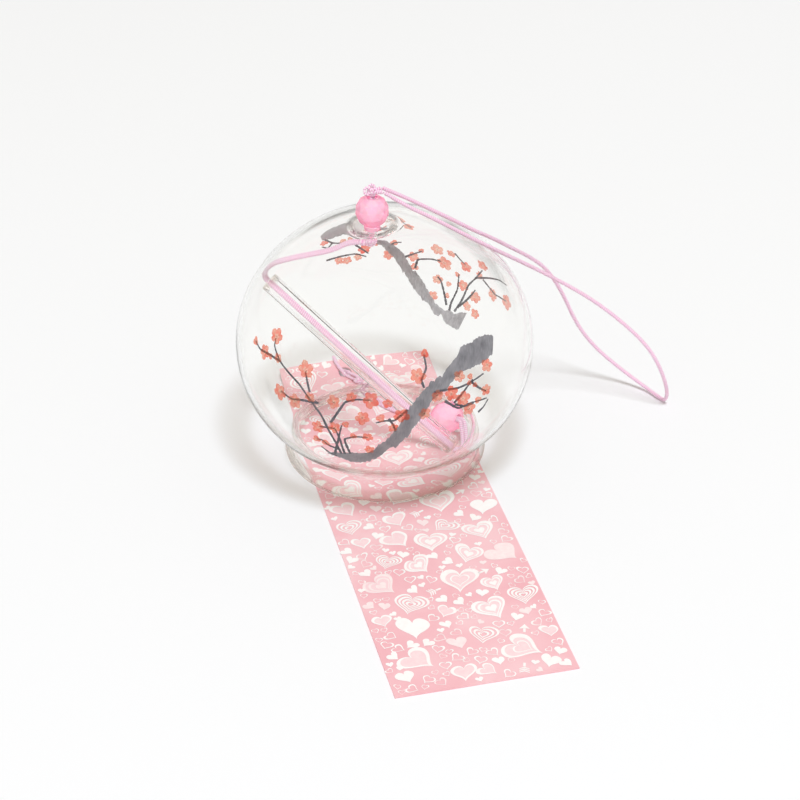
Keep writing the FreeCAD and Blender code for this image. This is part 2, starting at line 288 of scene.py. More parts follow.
def read_route(route: Sequence[Place]) -> Grid:
    """Read the places along the smooth line that a route's points control.

    The line is a quadratic NURBS curve that starts at the first point and ends at the last one.

    Args:
        route: the control points in millimetres.

    Returns:
        Places along the line, in millimetres.
    """
    curve = bpy.data.curves.new("route", "CURVE")
    curve.dimensions = "3D"
    curve.resolution_u = ROUTE_STEPS
    spline = curve.splines.new("NURBS")
    spline.points.add(len(route) - 1)
    for point, place in zip(spline.points, route):
        point.co = (place[0] * MM, place[1] * MM, place[2] * MM, 1.0)
    spline.order_u = 3
    spline.use_endpoint_u = True
    holder = bpy.data.objects.new("route", curve)
    bpy.context.scene.collection.objects.link(holder)
    mesh = bpy.data.meshes.new_from_object(holder)
    places = np.empty(len(mesh.vertices) * 3)
    mesh.vertices.foreach_get("co", places)
    bpy.data.objects.remove(holder)
    bpy.data.curves.remove(curve)
    bpy.data.meshes.remove(mesh)
    return places.reshape(-1, 3) / MM


def evenly(places: Grid, step: float) -> tuple[Grid, Grid]:
    """Space places evenly along a line, between its own places by their summed distances.

    Args:
        places: the line.
        step: the wanted distance between places.

    Returns:
        The evenly spaced places, and how far along the line each is.
    """
    runs = np.linalg.norm(np.diff(places, axis=0), axis=1)
    places = places[np.concatenate([[True], runs > 1e-6])]
    along = np.concatenate([[0.0], np.cumsum(np.linalg.norm(np.diff(places, axis=0), axis=1))])
    stops = np.linspace(0.0, along[-1], max(4, int(along[-1] / step)))
    return np.stack([np.interp(stops, along, places[:, axis]) for axis in range(3)], 1), stops


def carried_sides(places: Grid) -> tuple[Grid, Grid]:
    """Carry two side vectors along a line without twist: each is the last one less its part along the line.

    Args:
        places: the line.

    Returns:
        The two sides at each place, square to the line and to each other.
    """
    ahead = np.gradient(places, axis=0)
    ahead /= np.linalg.norm(ahead, axis=1, keepdims=True)
    side = np.cross(ahead[0], FIRST_SIDE)
    sides = np.empty_like(places)
    for number, direction in enumerate(ahead):
        side = side - direction * side.dot(direction)
        side = side / np.linalg.norm(side)
        sides[number] = side
    return sides, np.cross(ahead, sides)


# Finishes


@dataclass(frozen=True)
class GlassFinish:
    """Clear glass, free blown for the globe and drawn for the tube.

    Blowing leaves a slow ripple in the wall, which bends what is seen through it a little. The shadow is a
    pale ring, darkest where the wall is passed edge on. The attribute "frost" roughens a place, and "soft"
    lets more light straight through where thick round edges would look black in a plain white room.
    """

    name: str
    tint: str
    shade_band: str
    shade_edge: str
    # Real glass has 1.5; the wall's bright edges in the photograph are matched by less
    ior: float = 1.36
    ripple_size: float = 16.667
    ripple_height: float = 0.04
    ripple_strength: float = 0.5
    frost: float = 0.6
    facing_blend: float = 0.4
    edge_start: float = 0.45
    band_at: float = 0.78
    shade_soft: str = "F4EFEA"

    def make(self) -> bpy.types.Material:
        """Make the material.

        Returns:
            The material, with its node tree.
        """
        material, tree = blank(self.name)
        where = put(tree, "TexCoord").outputs["Object"]
        ripple = put(tree, "TexNoise", {"Vector": where, "Scale": per_metre(self.ripple_size), "Detail": 2.0})
        bump = put(tree, "Bump", {"Height": ripple.outputs[0], "Strength": self.ripple_strength,
                                  "Distance": self.ripple_height * MM})
        frost = put(tree, "Attribute", attribute_name="frost")
        rough = put(tree, "Math", {0: frost.outputs["Fac"], 1: self.frost}, operation="MULTIPLY")
        glass = put(tree, "BsdfPrincipled", {
            "Base Color": linear(self.tint), "Roughness": rough.outputs[0], "IOR": self.ior,
            "Transmission Weight": 1.0, "Normal": bump.outputs[0]})
        soft = put(tree, "Attribute", attribute_name="soft")
        plain = put(tree, "BsdfTransparent", {"Color": linear(self.shade_soft)})
        eased = put(tree, "MixShader", {0: soft.outputs["Fac"], 1: glass.outputs[0], 2: plain.outputs[0]})
        facing = put(tree, "LayerWeight", {"Blend": self.facing_blend})
        shade = put(tree, "ValToRGB", {0: facing.outputs["Facing"]}, stops=[
            (self.edge_start, "FFFFFF"), (self.band_at, self.shade_band), (1.0, self.shade_edge)])
        clear = put(tree, "BsdfTransparent", {"Color": shade.outputs[0]})
        pass_light(tree, eased.outputs[0], clear.outputs[0])
        return material


@dataclass(frozen=True)
class BeadFinish:
    """Tinted acrylic, moulded with facets.

    The colour is deeper towards the rim, where more of it is seen through. Light spreads inside, and years of
    handling leave small scratches on the facets. A painted glow, a faint pink emission, and the spreading
    stand in for the many turns that light takes between the facets.
    """

    name: str = "pink_acrylic"
    middle: str = "FFDDEB"
    tint: str = "FFBFD7"
    edge: str = "FA7C9E"
    shade: str = "FFEDF3"
    cloud_size: float = 3.846
    cloud_share: float = 0.3
    facing_blend: float = 0.45
    scratch_size: float = 0.7143
    scratch_rough: float = 0.06
    clear_share: float = 0.95
    milk_share: float = 0.5
    reach: tuple[float, float, float] = (0.004, 0.0018, 0.0024)
    # Painted glow: the bead emits this pink faintly, though it is no lamp
    glow: str = "FF7FA8"
    painted_glow_level: float = 0.3
    ior: float = 1.49

    def make(self) -> bpy.types.Material:
        """Make the material.

        Returns:
            The material, with its node tree.
        """
        material, tree = blank(self.name)
        where = put(tree, "TexCoord").outputs["Object"]
        cloud = put(tree, "TexNoise", {"Vector": where, "Scale": per_metre(self.cloud_size), "Detail": 3.0})
        facing = put(tree, "LayerWeight", {"Blend": self.facing_blend})
        depth = put(tree, "Math", {0: cloud.outputs[0], 1: self.cloud_share, 2: facing.outputs["Facing"]},
                    operation="MULTIPLY_ADD")
        tint = put(tree, "ValToRGB", {0: depth.outputs[0]}, stops=[
            (0.2, self.middle), (0.6, self.tint), (1.0, self.edge)]).outputs[0]
        scratch = put(tree, "TexNoise", {
            "Vector": where, "Scale": per_metre(self.scratch_size), "Detail": 4.0})
        rough = put(tree, "MapRange", {0: scratch.outputs[0], 1: 0.4, 2: 0.8, 3: 0.0,
                                       4: self.scratch_rough}).outputs[0]
        acrylic = put(tree, "BsdfPrincipled", {
            "Base Color": tint, "Roughness": rough, "IOR": self.ior, "Transmission Weight": self.clear_share})
        # The milky share carries the painted glow as an emission
        milk = put(tree, "BsdfPrincipled", {
            "Base Color": tint, "Roughness": rough, "IOR": self.ior, "Subsurface Weight": 1.0,
            "Subsurface Radius": self.reach, "Subsurface Scale": 1.0,
            "Emission Color": linear(self.glow), "Emission Strength": self.painted_glow_level})
        bead = put(tree, "MixShader", {0: self.milk_share, 1: acrylic.outputs[0], 2: milk.outputs[0]})
        clear = put(tree, "BsdfTransparent", {"Color": linear(self.shade)})
        pass_light(tree, bead.outputs[0], clear.outputs[0])
        return material


@dataclass(frozen=True)
class CordFinish:
    """Rayon satin cord, braided round a core.

    The ribs are painted paler, a painted highlight, and the grooves between them deeper pink, painted shade,
    as the mesh's groove value sets. The fibres are finer than the render shows, so they are drawn 0.4 mm wide
    and give the soft sheen its grain.
    """

    name: str = "satin_cord"
    # The cord's pink, painted paler on the ribs as a painted highlight and deeper in the grooves as painted
    # shade
    rib_highlight: str = "FFE6F4"
    groove_shade: str = "EAA8D2"
    groove_from: float = 0.25
    groove_to: float = 0.95
    fibre_size: float = 0.3846
    fibre_share: float = 0.35
    fibre_height: float = 0.05
    fibre_strength: float = 0.4
    roughness: float = 0.42
    sheen: float = 0.6
    sheen_roughness: float = 0.3
    inner_glow: float = 0.15
    reach: tuple[float, float, float] = (0.0008, 0.0005, 0.0005)

    def make(self) -> bpy.types.Material:
        """Make the material.

        Returns:
            The material, with its node tree.
        """
        material, tree = blank(self.name)
        where = put(tree, "TexCoord").outputs["Object"]
        groove_shade = put(tree, "Attribute", attribute_name="groove_shade")
        fibre = put(tree, "TexNoise", {"Vector": where, "Scale": per_metre(self.fibre_size), "Detail": 3.0})
        mixed = put(tree, "Math", {0: fibre.outputs[0], 1: self.fibre_share, 2: groove_shade.outputs["Fac"]},
                    operation="MULTIPLY_ADD")
        colour = put(tree, "ValToRGB", {0: mixed.outputs[0]}, stops=[
            (self.groove_from, self.rib_highlight), (self.groove_to, self.groove_shade)])
        bump = put(tree, "Bump", {"Height": fibre.outputs[0], "Strength": self.fibre_strength,
                                  "Distance": self.fibre_height * MM})
        satin = put(tree, "BsdfPrincipled", {
            "Base Color": colour.outputs[0], "Roughness": self.roughness, "Sheen Weight": self.sheen,
            "Sheen Roughness": self.sheen_roughness, "Subsurface Weight": self.inner_glow,
            "Subsurface Radius": self.reach, "Normal": bump.outputs[0]})
        put(tree, "OutputMaterial", {"Surface": satin.outputs[0]})
        return material


@dataclass(frozen=True)
class PaintFinish:
    """Enamel brushed on the glass by hand.

    The brush leaves streaks, thin enough in places for the room to show through, and the paint glows where
    light comes from behind it. The attribute "tone" goes from the dark colour to the light one.
    """

    name: str
    dark: str
    light: str
    cover: float
    glow: float = 0.4
    streak_size: float = 2.381
    grain: float = 0.25
    streak_height: float = 0.06
    streak_strength: float = 0.5
    thicker: float = 0.1
    thinner: float = 0.15
    roughness: float = 0.5

    def make(self) -> bpy.types.Material:
        """Make the material.

        Returns:
            The material, with its node tree.
        """
        material, tree = blank(self.name)
        where = put(tree, "TexCoord").outputs["Object"]
        tone = put(tree, "Attribute", attribute_name="tone")
        streak = put(tree, "TexNoise", {"Vector": where, "Scale": per_metre(self.streak_size), "Detail": 4.0})
        spread = put(tree, "MapRange", {0: streak.outputs[0], 1: 0.3, 2: 0.7, 3: 0.0, 4: self.grain})
        mixed = put(tree, "Math", {0: spread.outputs[0], 1: tone.outputs["Fac"]}, operation="ADD")
        colour = put(tree, "ValToRGB", {0: mixed.outputs[0]}, stops=[
            (0.1, self.dark), (1.0, self.light)]).outputs[0]
        bump = put(tree, "Bump", {"Height": streak.outputs[0], "Strength": self.streak_strength,
                                  "Distance": self.streak_height * MM})
        paint = put(tree, "BsdfPrincipled", {
            "Base Color": colour, "Roughness": self.roughness, "Normal": bump.outputs[0]})
        clear = put(tree, "BsdfTransparent", {"Color": colour})
        cover = put(tree, "MapRange", {0: streak.outputs[0], 1: 0.25, 2: 0.75, 3: self.cover + self.thicker,
                                       4: self.cover - self.thinner})
        through = put(tree, "BsdfTranslucent", {"Color": colour})
        layer = put(tree, "MixShader", {0: self.glow, 1: paint.outputs[0], 2: through.outputs[0]})
        both = put(tree, "MixShader", {0: cover.outputs[0], 1: clear.outputs[0], 2: layer.outputs[0]})
        put(tree, "OutputMaterial", {"Surface": both.outputs[0]})
        return material


@dataclass(frozen=True)
class PaperFinish:
    """Uncoated card, printed all over in salmon pink.

    The pink goes on in soft washes, about 26 mm across. The card's fibres, drawn 0.3 mm wide, keep it matt.
    """

    name: str = "strip_card"
    pale: str = "F9D0D6"
    middle: str = "F6C1C9"
    deep: str = "F2B5BE"
    wash_size: float = 26.316
    wash_swirl: float = 0.6
    fibre_size: float = 0.3125
    fibre_height: float = 0.03
    fibre_strength: float = 0.3
    roughness: float = 0.7

    def make(self) -> bpy.types.Material:
        """Make the material.

        Returns:
            The material, with its node tree.
        """
        material, tree = blank(self.name)
        where = put(tree, "TexCoord").outputs["Object"]
        wash = put(tree, "TexNoise", {"Vector": where, "Scale": per_metre(self.wash_size), "Detail": 3.0,
                                      "Distortion": self.wash_swirl})
        colour = put(tree, "ValToRGB", {0: wash.outputs[0]}, stops=[
            (0.32, self.pale), (0.5, self.middle), (0.72, self.deep)])
        fibre = put(tree, "TexNoise", {"Vector": where, "Scale": per_metre(self.fibre_size), "Detail": 4.0})
        bump = put(tree, "Bump", {"Height": fibre.outputs[0], "Strength": self.fibre_strength,
                                  "Distance": self.fibre_height * MM})
        card = put(tree, "BsdfPrincipled", {
            "Base Color": colour.outputs[0], "Roughness": self.roughness, "Normal": bump.outputs[0]})
        put(tree, "OutputMaterial", {"Surface": card.outputs[0]})
        return material


@dataclass(frozen=True)
class InkFinish:
    """White of the card's print, chalky, and in places so thin that the pink shows.

    Chalky specks are about 1 mm wide. The attribute "tone" fades a whole heart towards the pink.
    """

    name: str = "white_print"
    bright: str = "FFFFFF"
    chalky: str = "FFF6F5"
    faint: str = "FBDBE0"
    chalk_size: float = 1.1111
    chalk_share: float = 0.5
    roughness: float = 0.6

    def make(self) -> bpy.types.Material:
        """Make the material.

        Returns:
            The material, with its node tree.
        """
        material, tree = blank(self.name)
        where = put(tree, "TexCoord").outputs["Object"]
        tone = put(tree, "Attribute", attribute_name="tone")
        chalk = put(tree, "TexNoise", {"Vector": where, "Scale": per_metre(self.chalk_size), "Detail": 4.0})
        worn = put(tree, "Math", {0: chalk.outputs[0], 1: self.chalk_share, 2: tone.outputs["Fac"]},
                   operation="MULTIPLY_ADD")
        colour = put(tree, "ValToRGB", {0: worn.outputs[0]}, stops=[
            (0.22, self.bright), (0.5, self.chalky), (1.0, self.faint)])
        ink = put(tree, "BsdfPrincipled", {"Base Color": colour.outputs[0], "Roughness": self.roughness})
        put(tree, "OutputMaterial", {"Surface": ink.outputs[0]})
        return material


# Cords


@dataclass(frozen=True)
class CordMaker:
    """Satin cord of one thickness, single or as two strands side by side."""

    finish: bpy.types.Material
    radius: float = 0.55
    spacing: float = 1.18
    rib_pitch: float = 0.6
    rib_depth: float = 0.13
    rib_slant: float = 0.7
    swell: float = 0.2
    swell_start: float = 4.0
    swell_full: float = 18.0
    swell_end: float = 45.0
    around: int = 14
    step: float = 0.11
    knot_steps: int = 73
    knot_wobble: float = 0.06

    def strand(self, places: Grid, radius: float | None = None, closed: bool = False,
               swollen: bool = False) -> Strand:
        """Build one ribbed strand along places.

        A circle is carried along the line. Its radius dips in slanting waves, which make the ribs. It grows
        where the strand is swollen, and falls to nothing in a round cap at an open end.

        Args:
            places: the line that the strand follows, in millimetres.
            radius: the strand's radius, or the cord's own.
            closed: whether the line is a closed ring.
            swollen: whether the strand is thicker near its two ends.

        Returns:
            The vertices, the faces and each vertex's groove value, which also sets where the finish paints
            shade.
        """
        size = radius or self.radius
        line, along = evenly(places, self.step)
        if closed:
            line, along = line[:-1], along[:-1]
        sides, ups = carried_sides(line)
        turns = np.linspace(0, 2 * math.pi, self.around, endpoint=False)
        wave = 2 * math.pi * along[:, None] / self.rib_pitch + self.rib_slant * np.sin(turns)[None, :]
        # How deep in a groove each vertex is: it dips the mesh and places the painted groove shade
        groove_shade = (0.5 - 0.5 * np.cos(wave)) ** 2
        reach = np.full(len(line), size)
        if swollen:
            from_end = np.minimum(along, along[-1] - along)
            spots = (0.0, self.swell_start, self.swell_full, self.swell_end)
            reach *= 1 + self.swell * np.interp(from_end, spots, (0, 1, 1, 0))
        if not closed:
            for distance in (along, along[-1] - along):
                inside = np.clip(1 - distance / size, 0, 0.999)
                reach = np.minimum(reach, size * np.sqrt(1 - inside ** 2))
        ring = reach[:, None] * (1 - self.rib_depth * groove_shade)
        places = line[:, None, :] + ring[..., None] * (
            np.cos(turns)[None, :, None] * sides[:, None, :] + np.sin(turns)[None, :, None] * ups[:, None, :])
        faces = ring_faces(len(line), self.around, closed)
        if not closed:
            last = (len(line) - 1) * self.around
            faces.append(tuple(reversed(range(self.around))))
            faces.append(tuple(range(last, last + self.around)))
        flat = places.reshape(-1, 3)
        return flat, outward(flat, faces), groove_shade.reshape(-1)

    def join(self, name: str, strands: Iterable[Strand], body: Body | None, *nodes: str) -> bpy.types.Object:
        """Make one piece of several strands and let it stand for its nodes.

        Args:
            name: the piece's name.
            strands: what strand() returned for each.
            body: the body that carries the piece, or none where it is blended between two.
            nodes: the nodes that it replaces.

        Returns:
            The piece.
        """
        places, faces, grooves, start = [], [], [], 0
        for rows, quads, groove_shade in strands:
            places.append(rows)
            faces += [tuple(number + start for number in face) for face in quads]
            grooves.append(groove_shade)
            start += len(rows)
        piece = make_piece(name, np.concatenate(places), faces, self.finish, body,
                           tones={"groove_shade": np.concatenate(grooves)})
        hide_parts(*nodes)
        return piece

    def doubled(self, rows: Sequence[tuple[Place, float]]) -> list[Strand]:
        """Build two strands side by side.

        Args:
            rows: the places on the middle line, each with the heading in which the strands lie apart.

        Returns:
            The two strands.
        """
        strands = []
        for hand in (-0.5, 0.5):
            route = [np.asarray(place) + polar(hand * self.spacing, heading) for place, heading in rows]
            strands.append(self.strand(read_route(route)))
        return strands

    def wraps(self, centre: Place, radius: float, strand: float, axes: Sequence[Place],
              flat: float = 1.0) -> list[Strand]:
        """Build the crossing turns of a tight knot: rings round its centre that wave three times in a turn.

        Args:
            centre: the knot's centre.
            radius: the knot's outer radius.
            strand: the radius of the strand in the knot.
            axes: the direction that each turn goes round.
            flat: how much the knot is flattened in height.

        Returns:
            One closed strand for each turn.
        """
        turns = np.linspace(0, 2 * math.pi, self.knot_steps)
        strands = []
        for axis in axes:
            ahead = unit(axis)
            side = unit(np.cross(ahead, KNOT_SIDE))
            up = np.cross(ahead, side)
            reach = radius - strand
            wobble = 1 + self.knot_wobble * np.cos(3 * turns)
            ring = reach * wobble[:, None] * (np.cos(turns)[:, None] * side + np.sin(turns)[:, None] * up)
            ring[:, 2] *= flat
            strands.append(self.strand(ring + np.asarray(centre), strand, closed=True))
        return strands


# The bell


@dataclass
class Bell:
    """The blown globe with its sunk seat, its hole and the painting on it.

    The sizes are those of the part. "soft" and "frost" are how much the glass finish softens the lip and the
    seat's rim, and roughens the seat's left side.
    """

    glass: bpy.types.Material
    trunk_paint: bpy.types.Material
    petal_paint: bpy.types.Material
    radius: float = 40.0
    height: float = 71.2
    middle_height: float = 34.3
    flank_radius: float = 32.6
    wall: float = 1.3
    neck_radius: float = 25.2
    neck_fillet: float = 2.2
    lip_top: tuple[float, float] = (27.3, 1.7)
    lip_outer: tuple[float, float] = (27.65, 0.8)
    foot_outer: float = 26.9
    foot_inner: float = 25.9
    lip_curve: tuple[float, float] = (25.42, 0.38)
    lip_inner: tuple[float, float] = (25.2, 1.1)
    seat_x: float = -3.1
    seat_rim: float = 5.75
    seat_depth: float = 2.7
    seat_softness: float = 1.3
    hole_radius: float = 1.6
    centred_from: float = 28.0
    lean_about: float = 26.4
    cord_lift: float = 1.2
    rise: float = 0.5
    around: int = 288
    flank_steps: int = 70
    seat_rings: tuple[float, ...] = (1.6, 1.72, 1.95, 2.3, 2.8, 3.4, 4.0, 4.5, 5.0, 5.3, 5.5, 5.65, 5.75,
                                     5.85, 6.0, 6.25, 6.6, 7.1, 7.8)
    crown_from: float = 8.6
    crown_rings: int = 30
    hole_rings: tuple[float, ...] = (0.12, 0.5, 0.88)
    fillet_steps: int = 9
    collar_steps: int = 10
    roll_steps: int = 6
    ripple_depth: float = 0.05
    ripple_clear: float = 9.0
    seat_fade: float = 8.0
    neck_fade: float = 6.0
    frost_ring: float = 3.9
    frost_reach: float = 2.0
    frost_heading: float = 190.0
    lip_soft: float = 0.65
    lip_soft_below: float = 2.4
    rim_soft: float = 0.45
    soft_fade: float = 0.9
    paint_lift: float = 0.03

    def __post_init__(self) -> None:
        """Work out the arcs of the wall's section."""
        self.offset = self.radius - self.flank_radius
        crown_rise = self.height - self.middle_height
        self.crown_radius = (self.offset ** 2 + crown_rise ** 2 - self.flank_radius ** 2) / (
            2 * (crown_rise - self.flank_radius))
        self.crown_height = self.height - self.crown_radius
        self.join = math.atan2(self.middle_height - self.crown_height, self.offset)
        fillet_x = self.neck_radius + self.neck_fillet
        reach = self.flank_radius + self.neck_fillet
        self.neck_height = self.middle_height - math.sqrt(reach ** 2 - (fillet_x - self.offset) ** 2)
        self.fillet_centre = (fillet_x, self.neck_height)
        self.fillet_turn = math.atan2(self.neck_height - self.middle_height, fillet_x - self.offset)
        seat_surface = self.crown_height + math.sqrt(self.crown_radius ** 2 - self.seat_x ** 2)
        self.seat_floor = seat_surface - self.seat_depth
        self.seat_radius = (self.seat_rim ** 2 + self.seat_depth ** 2) / (2 * self.seat_depth)
        self.tilt = math.asin(self.cord_lift / (2 * self.lean_about))

    def lean(self, places: Grid) -> Grid:
        """Stand places of the globe's upright frame on the card and the cord.

        The places turn by the tilt about the line where the rim's front rests, and rise by the card.

        Args:
            places: one place or one row for each.

        Returns:
            One leaned row for each place.
        """
        rows = np.atleast_2d(np.asarray(places, float))
        y = rows[:, 1] + self.lean_about
        z = rows[:, 2]
        cos, sin = math.cos(self.tilt), math.sin(self.tilt)
        return np.stack([rows[:, 0], y * cos - z * sin - self.lean_about, y * sin + z * cos + self.rise], 1)

    def round_arc(self, centre: tuple[float, float], radius: float, start: float, end: float,
                  count: int) -> list[tuple[float, float]]:
        """Return places round a centre, as radius and height."""
        return [(centre[0] + radius * math.cos(turn), centre[1] + radius * math.sin(turn))
                for turn in np.linspace(start, end, count)]

    def bowed(self, start: tuple[float, float], middle: tuple[float, float], end: tuple[float, float],
              count: int) -> list[tuple[float, float]]:
        """Return places on the parabola that passes half-way through a middle place.

        Args:
            start: its first place, as radius and height.
            middle: the place that it passes half-way.
            end: its last place.
            count: how many places.

        Returns:
            Radius and height pairs.
        """
        spots = np.linspace(0, 1, count)
        return [tuple((1 - spot) ** 2 * a + 2 * spot * (1 - spot) * (2 * m - (a + b) / 2) + spot ** 2 * b
                      for a, m, b in zip(start, middle, end)) for spot in spots]

    def low_section(self, inset: float) -> list[tuple[float, float]]:
        """Return the section from the crown's join down to the foot.

        Args:
            inset: zero for the outer face, the wall for the inner one.

        Returns:
            Radius and height pairs from the top down.
        """
        flank = self.round_arc((self.offset, self.middle_height), self.flank_radius - inset, self.join,
                               self.fillet_turn, self.flank_steps)
        fillet = self.round_arc(self.fillet_centre, self.neck_fillet + inset, math.pi + self.fillet_turn,
                                math.pi, self.fillet_steps)
        narrow = self.neck_radius - inset
        wide, low = self.lip_inner if inset else self.lip_top
        out = wide - narrow
        fall = self.neck_height - low
        swing = (out ** 2 + fall ** 2) / (2 * out)
        centre = (narrow + swing, self.neck_height)
        end = math.pi + math.atan2(fall, centre[0] - wide)
        collar = self.round_arc(centre, swing, math.pi, end, self.collar_steps)
        foot = (self.foot_inner if inset else self.foot_outer, 0.0)
        roll = self.bowed(collar[-1], self.lip_curve if inset else self.lip_outer, foot, self.roll_steps)
        return flank + fillet[1:] + collar[1:] + roll[1:]

    def crown_ring(self, reach: float, inset: float, turns: Grid) -> Grid:
        """Return one ring of the crown, centred on the hole near the top and on the globe's axis further out.

        The height is the lower one of two spheres, the crown's dome and the seat's bowl, rounded where they
        meet.

        Args:
            reach: the ring's radius.
            inset: zero for the outer face, the wall for the inner one.
            turns: the headings of the ring's vertices.

        Returns:
            One row for each vertex.
        """
        share = min(1.0, reach / self.centred_from)
        blend = share * share * (3 - 2 * share)
        x = self.seat_x * (1 - blend) + reach * np.cos(turns)
        y = reach * np.sin(turns)
        dome_radius = self.crown_radius - inset
        dome = self.crown_height + np.sqrt(dome_radius ** 2 - x ** 2 - y ** 2)
        seat_radius = self.seat_radius + inset
        away = (x - self.seat_x) ** 2 + y ** 2
        seat = self.seat_floor + self.seat_radius - np.sqrt(np.maximum(seat_radius ** 2 - away, 0.0))
        seat = np.where(away < seat_radius ** 2 * 0.98, seat, self.height * 2)
        near = np.clip(1 - np.abs(dome - seat) / self.seat_softness, 0, 1)
        z = np.minimum(dome, seat) - near ** 2 * self.seat_softness / 4
        return np.stack([x, y, z], 1)

    def make_globe(self) -> bpy.types.Object:
        """Make the glass and let it stand for its node.

        Rings run from the hole over the crown and down the outer face, round the foot, up the inner face and
        back through the hole.

        Returns:
            The piece.
        """
        turns = np.linspace(0, 2 * math.pi, self.around, endpoint=False)
        edge = self.offset + self.flank_radius * math.cos(self.join)
        inner_edge = self.offset + (self.flank_radius - self.wall) * math.cos(self.join)
        near = list(self.seat_rings)
        outer = near + list(np.linspace(self.crown_from, edge, self.crown_rings))[:-1]
        inner = near + list(np.linspace(self.crown_from, inner_edge, self.crown_rings))[:-1]
        rings = [self.crown_ring(reach, 0.0, turns) for reach in outer]
        for section in (self.low_section(0.0), self.low_section(self.wall)[::-1]):
            rings += [np.stack([reach * np.cos(turns), reach * np.sin(turns), np.full_like(turns, height)], 1)
                      for reach, height in section]
        first_inner = len(outer) + len(self.low_section(0.0))
        rings += [self.crown_ring(reach, self.wall, turns) for reach in reversed(inner)]
        top, bottom = rings[0], rings[-1]
        rings += [bottom * (1 - share) + top * share for share in self.hole_rings]
        grid = np.array(rings)
        self.ripple(grid[first_inner:-len(self.hole_rings)])
        flat = grid.reshape(-1, 3)
        away = np.hypot(flat[:, 0] - self.seat_x, flat[:, 1])
        side = np.arctan2(flat[:, 1], flat[:, 0] - self.seat_x)
        seat_low = self.seat_floor - self.wall
        frost = np.clip(1 - np.abs(away - self.frost_ring) / self.frost_reach, 0, 1)
        frost *= flat[:, 2] > seat_low - 1
        frost *= np.clip(np.cos(side - math.radians(self.frost_heading)) + 0.45, 0, 1)
        lip = self.lip_soft * np.clip((self.lip_soft_below - flat[:, 2]) / self.soft_fade, 0, 1)
        rim = np.clip(1.5 - np.abs(away - self.seat_rim) / self.soft_fade, 0, 1) * (flat[:, 2] > seat_low)
        soft = np.maximum(lip, self.rim_soft * rim)
        faces = outward(flat, ring_faces(len(grid), self.around, True))
        piece = make_piece("bell_globe", self.lean(flat), faces, self.glass,
                           Body.BELL, tones={"frost": frost, "soft": soft})
        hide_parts("glass_globe")
        return piece

    def ripple(self, inside: Grid) -> None:
        """Push the inner face in and out by slow waves round the globe, which fade at the seat and the neck.

        Args:
            inside: the inner face's rings of vertices, changed in place.
        """
        height = inside[..., 2]
        heading = np.arctan2(inside[..., 1], inside[..., 0])
        reach = np.hypot(inside[..., 0], inside[..., 1])
        wave = self.ripple_depth * (np.sin(3 * heading + height / 9) + np.sin(5 * heading - height / 6 + 1.3))
        wave *= np.clip((reach - self.ripple_clear) / self.seat_fade, 0, 1)
        wave *= np.clip((height - self.ripple_clear) / self.neck_fade, 0, 1)
        inside[..., 0] += wave * np.cos(heading)
        inside[..., 1] += wave * np.sin(heading)

    def on_glass(self, azimuth: Grid, down: Grid, lift: float | Grid) -> Grid:
        """Return places on the outer face.

        The section is two arcs, the crown's and the flank's. A length down it is a turn round one of them.

        Args:
            azimuth: degrees round the globe's axis.
            down: millimetres down the section from the top.
            lift: how far above the glass.

        Returns:
            One row of leaned millimetres for each place.
        """
        azimuth = np.asarray(azimuth, float)
        down = np.asarray(down, float)
        crown_length = self.crown_radius * (math.pi / 2 - self.join)
        on_crown = down < crown_length
        crown_turn = math.pi / 2 - down / self.crown_radius
        flank_turn = self.join - (down - crown_length) / self.flank_radius
        turn = np.where(on_crown, crown_turn, flank_turn)
        reach = np.where(on_crown, (self.crown_radius + lift) * np.cos(turn),
                         self.offset + (self.flank_radius + lift) * np.cos(turn))
        height = np.where(on_crown, self.crown_height + (self.crown_radius + lift) * np.sin(turn),
                          self.middle_height + (self.flank_radius + lift) * np.sin(turn))
        heading = np.radians(azimuth)
        return self.lean(np.stack([reach * np.cos(heading), reach * np.sin(heading), height], 1))

    def girth(self, down: float) -> float:
        """Return the globe's radius at a length down the section: that of the arc it lies on.

        Args:
            down: millimetres down the section from the top.

        Returns:
            The radius in millimetres.
        """
        crown_length = self.crown_radius * (math.pi / 2 - self.join)
        if down < crown_length:
            return self.crown_radius * math.sin(down / self.crown_radius)
        turn = self.join - (down - crown_length) / self.flank_radius
        return self.offset + self.flank_radius * math.cos(turn)


